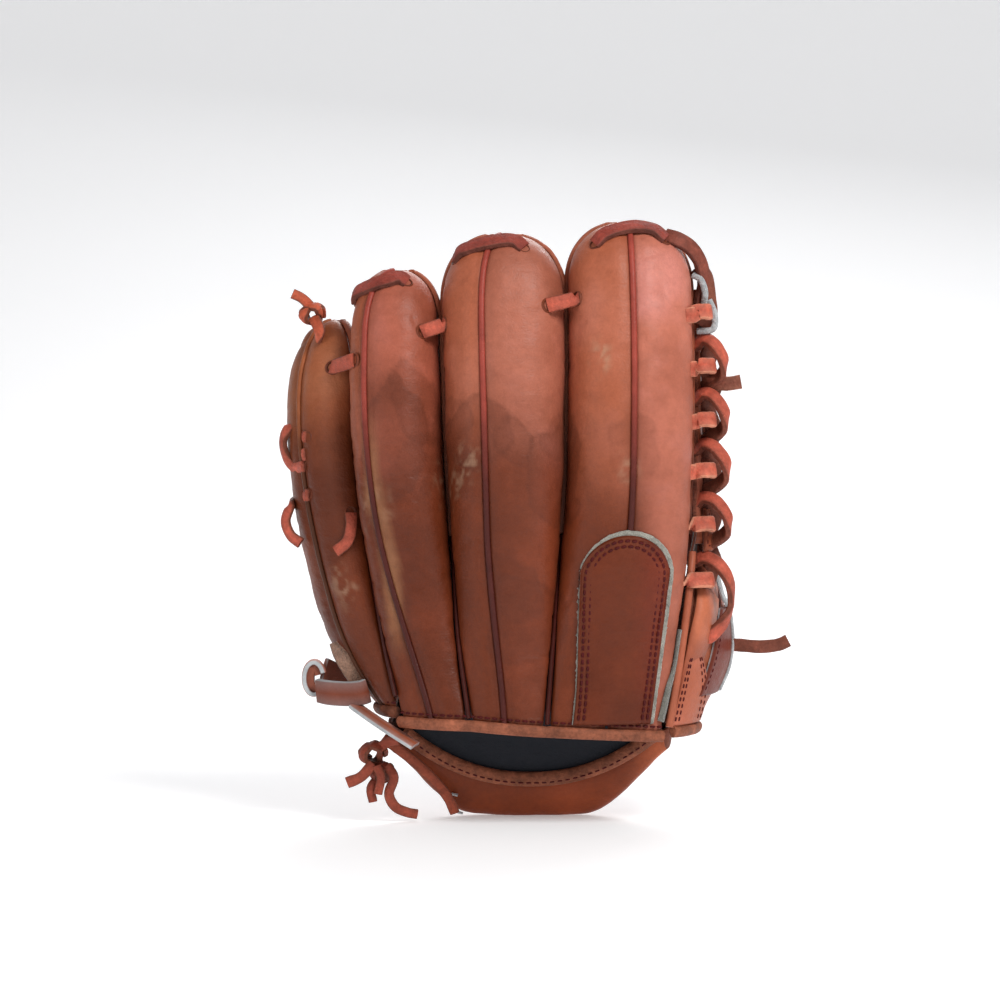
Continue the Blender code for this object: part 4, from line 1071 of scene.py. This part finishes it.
LITTLE_LEFT = PALM[0] + [(level, x + 3.4, y + 2.2) for level, x, y in SEAM[0] if level > 145]
LITTLE_RIGHT = [(level, x - 9 * (1 - smooth(115, 160, level)), y) for level, x, y in
                PALM[1] + [(level, x + 0.3, y + 6.4) for level, x, y in SEAM[1] if level > 145]]
THUMB_LEFT = THUMB_CREASE + [(level, x - 3.6, y - 0.5) for level, x, y in THUMB_IN if level > 145]
THUMB_RIGHT = [(level, x - 4.2, y - 2.2) for level, x, y in THUMB_OUT]
outer_front("little", LITTLE_LEFT, LITTLE_RIGHT, 61, (0.8, 0.6, 0), 71, (2,))
outer_front("thumb", THUMB_LEFT, THUMB_RIGHT, 54, (-1, 0.1, 0), 75, (2, 37))

# (body, body, start, end) of the leather that stretches between two bodies
THUMB_BLEND = ("hand", "thumb", metres(83.6, 52.3, 106.6), metres(92.4, 57.3, 107.5))
WEB_BLEND = ("hand", "thumb", metres(90, 31, 200), metres(90, 46, 200))
LITTLE_BLEND = ("hand", "little", metres(-69.2, 62.9, 106.5), metres(-73.9, 65.4, 106.7))
CORNER_BLEND = ("hand", "little", metres(-54, 20, 50), metres(-62, 20, 50))


def gusset(name, a_line, b_line, levels, toward, sag, blend):
    """The leather that creases between the palm and an outer stall."""
    level = np.linspace(*levels, 70)
    a, b = a_line(level), b_line(level)
    along = b - a
    a, b = a - along * 0.22, b + along * 0.12
    s, level = np.meshgrid(np.linspace(0, 1, 22), level)
    grid = xyz(mix(a[:, None], b[:, None], s[..., None]), level)
    n = facing(grid, toward)
    fold = -sag * np.sin(math.pi * s) - 1.4 - 0.5 * np.cos(6 * math.pi * s) * np.sin(math.pi * s)
    grid = wrinkled(grid + n * fold[..., None], n, np.full(s.shape, 9.0), 0.6, 83)
    # painted shade: the whole gusset gets the darkening that lies beside seams
    colours = paint(grid, np.full(s.shape, 2.5), TAN * 0.75, TAN_DARK * 0.8, TAN, 9)
    place(shell(name, grid, colours, toward, 1.8, 0.8), blend)


gusset("thumb_gusset", PALM_AT[4], curve(THUMB_CREASE + [(150, 85, 62.5)]), (50, 149), (-0.4, 0.9, 0), 2.5,
       THUMB_BLEND)
gusset("little_gusset", PALM_AT[1], curve(LITTLE_RIGHT), (56, 158), (0.2, 1, 0), 2.0, LITTLE_BLEND)


# --- web

WEB_LOW, WEB_HIGH = 140.0, 272.0


def web_at(across, level, lift):
    """The surface of the web: across runs 0 at the index finger to 1 at the thumb. It bows outwards."""
    across, level = np.broadcast_arrays(np.asarray(across, float), np.asarray(level, float))
    a = FINGERS["index"]["right_at"](level) + np.array([3.5, 3.0])
    b = FINGERS["thumb"]["left_at"](np.minimum(level, 250)) + np.array([-1.5, -4.5])
    side = unit(b - a)
    out = np.stack([side[..., 1], -side[..., 0]], -1)
    p = mix(a, b, across[..., None]) + out * (7.0 * np.sin(math.pi * across) + lift)[..., None]
    return xyz(p, level - 22 * across * smooth(180, 270, level)), xyz(out, 0 * level)


def web_piece(kind, across, levels, thick, lift, colour, rows, cols, seed):
    """One sheet of the web, stitched round its edge unless it is the large panel."""
    name = f"web_{kind}_look"
    across, level = np.meshgrid(np.linspace(*across, cols), np.linspace(*levels, rows))
    grid, out = web_at(across, level, lift + thick / 2)
    n = facing(grid, out)
    down, over = runs(grid)
    edge = np.minimum(np.minimum(over, over[:, -1:] - over), np.minimum(down, down[-1:] - down))
    grid = wrinkled(grid, out, edge, 0.35, seed)
    colours = paint(grid, edge, colour, TAN_DARK, TAN_LIGHT, seed)
    place(shell(name, grid, colours, (1, -0.2, 0), thick, 0.8, SUEDE), WEB_BLEND, f"web_{kind}")
    if kind != "panel":
        path, up = (np.concatenate([v[3:-3, 2], v[-4, 2:-2], v[3:-3, -3][::-1], v[3, 2:-2][::-1]])
                    for v in (grid, n))
        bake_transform(stitches(name + "_stitches", path, up, 3.8))


web_piece("panel", (0.03, 0.95), (WEB_LOW + 2, WEB_HIGH), 2.8, -1.4, TAN * 0.9, 70, 30, 3)
web_piece("post", (0.38, 0.64), (WEB_LOW + 20, WEB_HIGH - 16), 2.2, 2.0, TAN, 70, 30, 4)
web_piece("crossbar", (-0.05, 0.9), (WEB_HIGH - 22, WEB_HIGH + 6), 2.6, 3.6, TAN, 30, 50, 5)
web_piece("base", (0.1, 0.86), (WEB_LOW - 2, WEB_LOW + 20), 2.2, 2.4, TAN, 24, 24, 6)

# (x, level) of the middle of each short lace tab that comes out at the index finger's edge
WEB_TABS = [(92.2, 258.3), (94.2, 231.3), (94.4, 204.5), (94.4, 179.2), (94.0, 152.4), (93.6, 124.3)]


def web_tab(x, z):
    """A lace's short flat tab, out of the index finger's edge and back behind itself."""
    return [on("index", x - 6.2, z - 0.8, -1.6), on("index", x - 4.6, z - 0.4, 1.6),
            seen(x - 1.6, z, 24.6, (0, -1, 0.5)), seen(x + 2.0, z + 0.2, 24.8, (0.3, -1, 0.5)),
            seen(x + 4.6, z, 28, (0.95, -0.3, 0.2)), seen(x + 4.2, z - 0.5, 34, (1, 0.2, 0))]


def web_loop(z, wide, drop):
    """A lace's loop round the mouth of a tab: its hair side shows above and its flesh side below."""
    return [seen(90, z + 9.5, 38, (-0.3, -0.7, 0.6)), seen(95, z + 13, 34, (0, -0.8, 0.7)),
            seen(95.5 + wide * 0.6, z + 10.5, 30.5, (0.5, -0.8, 0.5)),
            seen(97 + wide, z + 3, 30, (0.85, -0.6, 0.1)), seen(96.5 + wide, z - 4, 34, (0.9, 0.35, -0.2)),
            seen(95 + wide * 0.5, z - 4 - drop * 0.6, 38, (0.7, 0.7, -0.3)),
            seen(93.5, z - 4 - drop, 41, (0.5, 0.85, -0.3))]


def low_loop(z):
    """The last loop, which hangs down over the thumb's foot."""
    return [seen(89, z + 8, 38, (-0.3, -0.7, 0.6)), seen(95, z + 11, 34, (0, -0.8, 0.7)),
            seen(102.5, z + 7, 30, (0.5, -0.8, 0.4)), seen(107.5, z - 2, 30, (0.9, -0.45, 0.15)),
            seen(108, z - 12, 33, (0.9, -0.1, 0)), seen(104.5, z - 21, 35, (0.75, -0.5, -0.2)),
            seen(99, z - 27.5, 35, (0.3, -0.9, -0.3)), seen(96, z - 29, 35.5, (0, -0.9, -0.3))]


def web_laces():
    """The lacing between the index finger and the web, and between the web and the thumb."""
    for i, (x, z) in enumerate(WEB_TABS):
        nodes = () if i else ("web_index_lace",)
        surface_lace(f"web_tab_{i}", WEB_BLEND, web_tab(x, z), 7.8, *nodes, side=PALE_CUT, thick=3.2)
        if i:
            loop = low_loop(z) if i == len(WEB_TABS) - 1 else web_loop(z, 6.2 + 0.8 * i, 8.0)
            surface_lace(f"web_loop_{i}", WEB_BLEND, loop, 7.4, thick=3.2, side=FLESH_LACE * 1.2)
    # the lace's run behind the loops, flesh side out
    marks = []
    for i, z in enumerate(np.linspace(243, 122, 23)):
        a = i * math.pi / 2
        marks.append(seen(97.5 + 1.8 * math.cos(a), z, 43 + 1.5 * math.sin(a), (0.2, -1, 0)))
    surface_lace("web_lace_run", WEB_BLEND, marks, 9.0, colour=FLESH_LACE, side=FLESH_LACE * 0.8)
    surface_lace("web_hook", WEB_BLEND, [seen(91, 280, 39), seen(95, 275, 37, (0.3, -1, 0)),
                 seen(96.5, 266, 36, (0.4, -0.9, 0)), seen(97, 257, 36, (0.3, -0.9, 0)),
                 seen(93, 251, 37, (0, -1, -0.3))], 8.5, colour=SUEDE, side=SUEDE * 0.8)
    raw_edges = ([seen(89, 276.5, 33), seen(93, 274, 31), seen(95, 268, 31), seen(94.5, 262.5, 33)],
                 [seen(97, 264, 34), seen(99.5, 258, 33), seen(100, 252, 33), seen(98, 249, 33),
                  seen(91, 248.5, 34)])
    for i, marks in enumerate(raw_edges):
        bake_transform(cord(f"web_raw_edge_{i}", marks, round_ring(1.5, 1.7), RAW * 0.9, WOOL, 1.0))
    marks = [web_at(0.8 if i % 2 else 0.95, level, 3.4) for i, level in enumerate(np.linspace(236, 166, 9))]
    surface_lace("web_thumb_lace_look", "thumb", marks, 5.5, "web_thumb_lace")
    surface_lace("web_lace_tail", WEB_BLEND, [seen(96, 222, 40), seen(101, 222.3, 36), seen(107, 222.3, 34),
                 seen(113, 223.3, 34)], 7.2, colour=FLESH_LACE * 1.1, side=PALE_CUT * 0.6)


web_laces()


# --- laces on the fingers

TIP_LACES = {
    "ring": [(-81, 265.5, 0.2), (-77, 269, 1.9), (-67, 273, 2.2), (-58, 275.5, 2.0), (-54, 274.5, 0.2)],
    "middle": [(-29.5, 286, 0.2), (-25, 289.5, 1.9), (-12, 293, 2.2), (-1, 294, 2.0), (4.5, 291.5, 0.2)],
    "index": [(40, 293.5, 0.2), (46, 297.5, 1.9), (57, 300.5, 2.2), (68, 300, 2.0), (75, 296, 0.4)],
}
for key, marks in TIP_LACES.items():
    surface_lace(f"{key}_tip_lace_look", "hand", [(key, *mark) for mark in marks], 8.2, f"{key}_tip_lace",
                 colour=TIP_LACE, thick=3.2, side=DARK_CUT)
    for i in (0, -1):
        hole(f"{key}_tip_hole_{i + 1}", on(key, *marks[i][:2], 0.1), "hand", 2.4)
INDEX_SIDE = [seen(75, 296, 28, (0.2, -0.9, 0.4)), seen(82, 294, 26, (0.4, -0.9, 0.3)),
              seen(88, 290, 28, (0.6, -0.7, 0.2)), seen(92.5, 283, 32, (0.7, -0.7, 0)),
              seen(94.5, 272, 36, (0.7, -0.7, 0)), seen(92.5, 262, 37, (0.7, -0.7, 0))]
surface_lace("index_side_lace", "hand", INDEX_SIDE, 8.0, colour=srgb(128, 66, 52), side=srgb(96, 54, 44),
             thick=3.4)

# The laces that bridge two fingers: name, left finger and x, right finger and x, level.
BRIDGES = [("lace_middle_index", "middle", 16.5, "index", 31, 264),
           ("lace_ring_middle", "ring", -46, "middle", -35, 251),
           ("lace_little_ring", "little", -91, "ring", -80, 233)]
for name, a, ax, b, bx, level in BRIDGES:
    start, end = on(a, ax, level - 1.5, 0.3), on(b, bx, level + 2, 0.3)
    knots = [start]
    for t, rise in ((0.2, 1.9), (0.5, 2.2), (0.8, 1.9)):
        knots.append((mix(start[0], end[0], t) + np.array([0, -rise, 0]), (0, -1.0, 0)))
    knots.append(end)
    if a == "little":
        surface_lace(name + "_look", ("hand", "little", metres(*end[0]), metres(*start[0])), knots, 7.5)
    else:
        surface_lace(name + "_look", "hand", knots, 7.5, name)
    hole(name + "_hole_a", start, BODY[a], 2.8)
    hole(name + "_hole_b", end, BODY[b], 2.8)


def knot(name, body, centre, size, tails, seed, *nodes, colour=KNOT):
    """A lace tied in an overhand knot with free tails."""
    local = np.random.default_rng(seed)
    t = np.linspace(0, 2 * math.pi * 1.62, 26)
    ball = np.stack([np.cos(t) * (1 + 0.25 * np.cos(1.5 * t)), 0.8 * np.sin(1.5 * t), np.sin(t) * 0.85], 1)
    ball = ball + local.uniform(-0.12, 0.12, (26, 3))
    marks = zip(np.array(centre) + ball * size, unit(ball))
    obj = cord(name, marks, band_ring(2.6, 5.4), hide_colours(colour), LACE_HIDE, 1.0)
    place(obj, body, *nodes, slot="lace")
    for i, (marks, width) in enumerate(tails):
        surface_lace(f"{name}_tail_{i}", body, marks, width, colour=colour)


knot("little_tip_knot_look", "little", (-104, 60, 259), 4.8,
     [([((-104, 60, 262), (0, -1, 0)), ((-109, 57, 267), (0.2, -1, 0.2)),
        ((-114, 56, 269.5), (0.3, -1, 0))], 5.2),
      ([((-103, 58, 257), (0, -1, 0)), ((-100, 50, 251), (-0.3, -1, 0)),
        ("little", -97, 245, 1.6)], 6.0)], 3, "little_tip_knot")
surface_lace("little_side_lace_look", "little", [("little", -104, 196, 0.4), ("little", -107, 200, 2.8),
             seen(-112, 200, 64, (-0.6, -0.8, 0.3)), seen(-115.5, 194, 65, (-1, -0.4, 0)),
             seen(-114.5, 186, 66, (-0.9, -0.5, -0.2)), seen(-110, 180, 62, (-0.6, -0.8, -0.3)),
             ("little", -105, 181, 0.4)], 6.0, "little_side_lace", thick=3.0)
surface_lace("little_side_wrap", "little", [("little", -104.5, 187, 0.5), ("little", -106.5, 182, 2.6),
             ("little", -106.5, 175, 2.8), ("little", -103, 166, 0.6)], 6.4)
surface_lace("little_side_tail", "little", [("little", -103, 166, 0.6), ("little", -107, 163, 2.6),
             seen(-112, 160, 62, (-0.7, -0.8, 0)), seen(-114.5, 153, 60, (-0.6, -0.8, 0)),
             seen(-112, 146, 58, (-0.6, -0.8, 0)), seen(-107, 142, 56, (-0.3, -0.9, 0))], 5.6)
for i, level in enumerate((196, 181, 167)):
    hole(f"little_side_hole_{i}", on("little", -103, level, 0.1), "little", 2.2)
surface_lace("little_lace_end", "little", [("little", -82, 157, 0.4), ("little", -82, 151, 2.4),
             ("little", -83, 143, 2.8), ("little", -88, 138, 2.2)], 6.0)
hole("little_lace_hole", on("little", -82, 158, 0.1), "little", 2.2)


# --- foot of the thumb

THUMB = FINGERS["thumb"]


def even_grid(rows, cols):
    """(share up, share over) of a grid's points."""
    return np.linspace(0, 1, rows)[:, None], np.linspace(0, 1, cols)[None]


def thumb_overlay():
    """The V-shaped overlay with its two double rows of stitches, and the raw edge beside it."""
    share, t = even_grid(50, 28)
    toward = (0.6, -0.8, 0)
    level = mix(50.5, 94, share) + 0 * t
    grid = back_at(THUMB, mix(mix(176, 152, share), mix(66, 146, share**1.2), t), level, 2.4)
    edge = np.minimum(np.minimum(t, 1 - t) * mix(24, 3, share), (1 - share) * 40)
    colours = paint(grid, edge * 2, TAN, TAN_DARK, TAN_LIGHT, 21) * 1.15
    place(shell("thumb_overlay_look", grid, colours, toward, 1.8, 0.8, TAN_DARK), "thumb", "thumb_overlay")
    n = facing(grid, toward)
    for i, c in enumerate((3, 6, 21, 24)):
        name = f"thumb_overlay_stitches_{i}"
        place(stitches(name, grid[2:40, c], n[2:40, c], 3.4, 2.6, 0.55, 0.0), "thumb")
    line = ((84.2, 99), (82.2, 90), (79.0, 80), (76.4, 70), (74.2, 60), (72.6, 53))
    marks = [on("index", x, z, 0.9) for x, z in line]
    place(cord("overlay_raw_edge", marks, round_ring(1.2, 1.9), FELT * 0.55, WOOL), "hand")


def thumb_dome():
    """The full, smooth dome over the thumb's base, painted lighter towards its top as light and darker at
    its edges as shade.
    """
    share, t = even_grid(60, 34)
    toward = np.array([0.5, -0.85, 0.1])
    level = mix(60, 121 - 8 * t**2, share)
    stop = np.interp(level, [60, 77, 95, 108, 121], [136, 124, 108, 98, 96])
    puff = 0.6 + 3.0 * np.sin(math.pi * t) ** 0.6 * smooth(76, 100, level) * smooth(1.0, 0.8, share)
    grid = back_at(THUMB, mix(178, stop, t), level, 1.0) + unit(toward) * puff[..., None]
    # painted light: lighter higher up the dome
    shade = smooth(78, 108, grid[..., 2] + (fbm(grid, 14, 3) - 0.5) * 16)[..., None]
    colours = mix(srgb(150, 78, 54), srgb(196, 112, 80), shade) * (0.85 + 0.3 * fbm(grid, 12, 5))[..., None]
    edge = np.minimum(np.minimum(t, 1 - t) * 22, (1 - share) * 50)
    # painted shade: darker at the dome's edges
    colours = colours * (1 - 0.4 * np.exp(-edge / 1.5))[..., None]
    place(shell("thumb_dome", grid, colours, toward, 1.8, 1.4), "thumb")


def thumb_flap():
    """The stitched flap over the outer side of the thumb's heel, the raw edge that runs onto it, and
    the long lace end that comes out of it."""
    share, t = even_grid(50, 40)
    toward = (1, -0.2, 0)
    grid = back_at(THUMB, mix(mix(112, 96, share), 8, t), mix(64, 108, share) + 0 * t, 3.0)
    edge = np.minimum(np.minimum(t, 1 - t) * 30, np.minimum(share, 1 - share) * 45)
    colours = paint(grid, edge, srgb(120, 46, 36), TAN_DARK * 0.6, TAN_DARK, 5)
    obj = shell("thumb_heel_flap_look", grid, colours, toward, 1.8, 0.8, RAW)
    place(obj, "thumb", "thumb_heel_flap")
    line, up = (np.concatenate([v[3:-3, 3], v[-4, 3:-3]]) for v in (grid, facing(grid, toward)))
    place(stitches("thumb_flap_stitches", line, up, 3.4, 2.6, 0.5, 0.0), "thumb")
    turn, level = np.array([(165, 146), (142, 134), (120, 123), (98, 114), (74, 108.5), (56, 102), (48, 90),
                            (46, 77), (46, 66)], float).T
    path = back_at(THUMB, turn, level, 3.2)
    marks = zip(path, back_at(THUMB, turn, level, 4.2) - path)
    place(cord("thumb_raw_edge", marks, round_ring(1.1, 1.6), RAW * 0.92, WOOL), "thumb")
    surface_lace("thumb_lace_tail_look", "thumb", [seen(104, 91, 74, (0.3, -0.9, 0)),
                 seen(113, 90.5, 72, (0.1, -1, 0.1)), seen(123, 89.8, 70), seen(132, 90.8, 69),
                 seen(137, 93, 68.5, (0.1, -1, -0.1))], 6.6, "thumb_lace_tail",
                 colour=FLESH_LACE * 1.15, side=SUEDE)


thumb_overlay()
thumb_dome()
thumb_flap()


# --- strap, keeper and heel knots

def band(name, body, marks, width, colours, *nodes, thick=2.4, look=LEATHER, slot="leather"):
    """A flat strip of leather or felt through marks of (position, normal)."""
    obj = cord(name, marks, band_ring(thick, width, 0.5), colours, look, 1.1, 0.3)
    place(obj, body, *nodes, slot=slot)


def strap():
    """The wrist strap's end: it comes round from the palm side, curls into a loop and lies back as a tab."""
    hide = hide_colours(TAN, RAW * 0.95, SUEDE * 1.2)
    side = (-0.6, 0.8, 0)
    run = ((-60, 85, 65), (-71, 86, 66), (-80, 80, 68), (-87, 71, 70), (-93, 62, 73), (-98, 54, 76))
    band("wrist_strap_look", "strap", [(p, side) for p in run], 13.0, hide, "wrist_strap")
    turn = np.radians(np.linspace(20, 300, 44))
    centre = np.array(seen(-100.3, 74.7, 50)[0])
    ring = np.stack([np.cos(turn), 0 * turn, np.sin(turn)], 1)
    band("strap_loop", "strap", [(centre + r * (4.9, 1, 8.2), r) for r in ring], 12.0, hide, thick=2.6)
    band("strap_coil", "strap", [(centre + r * (2.4, 1, 5.0) + (0.3, 1.2, 0), r) for r in ring], 11.0,
         hide_colours(TAN * 0.6, SUEDE * 1.4, SUEDE), thick=4.4)
    band("strap_tab", "strap", [seen(-98.5, 68.5, 42, (-0.3, -1, -0.3)), seen(-93, 67.5, 38, (0, -1, -0.2)),
                                seen(-84, 67, 35.5, (0, -1, -0.15)), seen(-77, 67.6, 34, (0.1, -1, -0.15)),
                                seen(-74, 68.6, 35.5, (0.5, -0.8, 0))], 12.5,
         hide_colours(srgb(116, 56, 36), RAW * 0.6, SUEDE), thick=3.2)
    band("strap_keeper_look", "little", [seen(-87, 93, 50), seen(-85, 87, 46), seen(-81, 80, 44),
                                         seen(-77, 74, 43), seen(-74, 68, 45)], 12.0,
         hide_colours(srgb(158, 122, 102), srgb(126, 92, 76), SUEDE), "strap_keeper", look=WOOL,
         slot="binding")
    lean = (0.4, -0.5, 0.9)
    band("wrist_corner_strip", CORNER_BLEND, [seen(-80, 61, 36, lean), seen(-72, 55.5, 27, lean),
                                              seen(-62, 49, 19, lean), seen(-50, 41.5, 14, lean)], 8.0,
         hide_colours(srgb(150, 78, 50), RAW * 0.95, SUEDE), thick=2.2)


def heel_laces():
    """The lace along the heel's outer corner, the slits it leaves, and its two knots."""
    surface_lace("heel_lace_look", "hand", [seen(-66, 45, 36), seen(-58, 39, 36), seen(-48, 31, 40),
                 seen(-39, 22, 45), seen(-33, 14, 49), seen(-30, 7, 52)], 5.2, "heel_lace", colour=RUST)
    for i, (x, z) in enumerate(((-30, 16), (-27.5, 7))):
        path = [seen(x - 1.6, z + 0.4, 55 - i * 1.5), seen(x + 1.6, z - 0.4, 55 - i * 1.5)]
        band(f"heel_slit_{i}", "hand", path, 1.4, RAW, thick=1.2)
    knot("heel_knot_look", "hand", seen(-71, 37, 36)[0], 5.0,
         [([seen(-71, 32, 33), seen(-77, 25.5, 31), seen(-84, 22.5, 31)], 5.6),
          ([seen(-69, 31, 32), seen(-67, 25, 31), seen(-68.5, 17, 33)], 4.6),
          ([seen(-68, 40, 34), seen(-63, 43, 31), seen(-58, 44, 28)], 5.2),
          ([seen(-64, 31, 34), seen(-60.5, 25, 33), seen(-63, 17, 35), seen(-60, 10.5, 38),
            seen(-54, 7.5, 41), seen(-49, 6.5, 43)], 5.0)], 5, "heel_knot", colour=srgb(150, 70, 52))
    knot("heel_knot_low", "hand", seen(-66.5, 27.5, 38)[0], 4.0,
         [([seen(-67, 26, 37), seen(-72, 20, 35), seen(-71, 13, 36)], 4.6)], 9, colour=srgb(138, 62, 46))


strap()
heel_laces()


# --- the inner nodes, which keep their CAD shapes

def finish_nodes():
    """Gives the inner CAD nodes felt and leather looks, coloured without the painted attributes."""
    looks = {"padding": (WOOL, srgb(196, 186, 164)), "lining": (DARK, LINING * 1.4), "stay": (DARK, LINING)}
    slots = {row["node"]: row["material_slot"] for row in frame["record"]["subparts"]}
    for name, node in frame["nodes"].items():
        kind = slots.get(name)
        if kind not in looks or node.hide_render:
            continue
        look, colour = looks[kind]
        made = look.copy()
        made.name = f"{kind}_{name}"
        tree = made.node_tree
        for item in [n for n in tree.nodes if n.type == "ATTRIBUTE"]:
            targets = [link.to_socket for out in ("Vector", "Color") for link in item.outputs[out].links]
            if item.attribute_name == "rest":
                source = tree.nodes.new("ShaderNodeTexCoord").outputs["Object"]
            else:
                source = tree.nodes.new("ShaderNodeRGB").outputs[0]
                source.default_value = (*colour, 1)
            for target in targets:
                tree.links.new(source, target)
        node.data.materials.clear()
        node.data.materials.append(made)


finish_nodes()


# --- stage, light, camera

FLOOR_REACH = 6.0
CURVE_FROM, CURVE_RADIUS = 1.2, 1.5
CAMERA_AIM = Vector((-0.0155, -0.070, 0.165))
CAMERA_DISTANCE = 2.0
CAMERA_TILT = math.radians(1.5)
FRAME_HALF = 0.25  # half the width that the picture spans at the aim


def link_object(name, data):
    obj = bpy.data.objects.new(name, data)
    bpy.context.scene.collection.objects.link(obj)
    return obj


def aim_at(obj, at, aim):
    obj.location = at
    obj.rotation_euler = (Vector(aim) - Vector(at)).to_track_quat("-Z", "Y").to_euler()


def light(name, at, aim, size, power, colour=(1, 1, 1)):
    data = bpy.data.lights.new(name, "AREA")
    data.size, data.energy, data.color = size, power, colour
    aim_at(link_object(name, data), at, aim)


def floor():
    """A pale floor that curves up into a backdrop."""
    rows = [(-FLOOR_REACH, 0), (0.0, 0), (CURVE_FROM, 0)]
    for a in np.linspace(0.1, math.pi / 2, 14):
        rows.append((CURVE_FROM + CURVE_RADIUS * math.sin(a), CURVE_RADIUS * (1 - math.cos(a))))
    rows.append((CURVE_FROM + CURVE_RADIUS, FLOOR_REACH))
    points = [(x, y, z - 0.0004) for y, z in rows for x in (-FLOOR_REACH, FLOOR_REACH)]
    mesh = bpy.data.meshes.new("floor")
    mesh.from_pydata(points, [], [[2 * i, 2 * i + 1, 2 * i + 3, 2 * i + 2] for i in range(len(rows) - 1)])
    mesh.shade_smooth()
    look, _, shader = nodes_for("floor_paint", 0.7)
    shader.inputs["Base Color"].default_value = (0.86, 0.86, 0.87, 1)
    shader.inputs["Emission Color"].default_value = (1, 1, 1, 1)
    shader.inputs["Emission Strength"].default_value = 0.3
    mesh.materials.append(look)
    link_object("floor", mesh)


def studio():
    scene = bpy.context.scene
    scene.view_settings.view_transform = "Standard"
    world = bpy.data.worlds.new("studio")
    world.use_nodes = True
    world.node_tree.nodes["Background"].inputs["Color"].default_value = (0.94, 0.96, 1.0, 1)
    world.node_tree.nodes["Background"].inputs["Strength"].default_value = 0.24
    scene.world = world
    light("key", (0.75, -1.25, 1.35), (0, -0.05, 0.2), 0.65, 25, (1, 0.98, 0.96))
    light("fill", (-1.3, -1.2, 0.7), (0, -0.05, 0.16), 1.0, 5, (1, 0.98, 0.96))
    light("back", (0.3, 1.6, 1.4), (0, 0, 0.16), 1.2, 18)
    camera = bpy.data.cameras.new("camera")
    camera.lens = camera.sensor_width / 2 / (FRAME_HALF / CAMERA_DISTANCE)
    scene.camera = link_object("camera", camera)
    back = Vector((0, -math.cos(CAMERA_TILT), math.sin(CAMERA_TILT))) * CAMERA_DISTANCE
    aim_at(scene.camera, CAMERA_AIM + back, CAMERA_AIM)


floor()
studio()
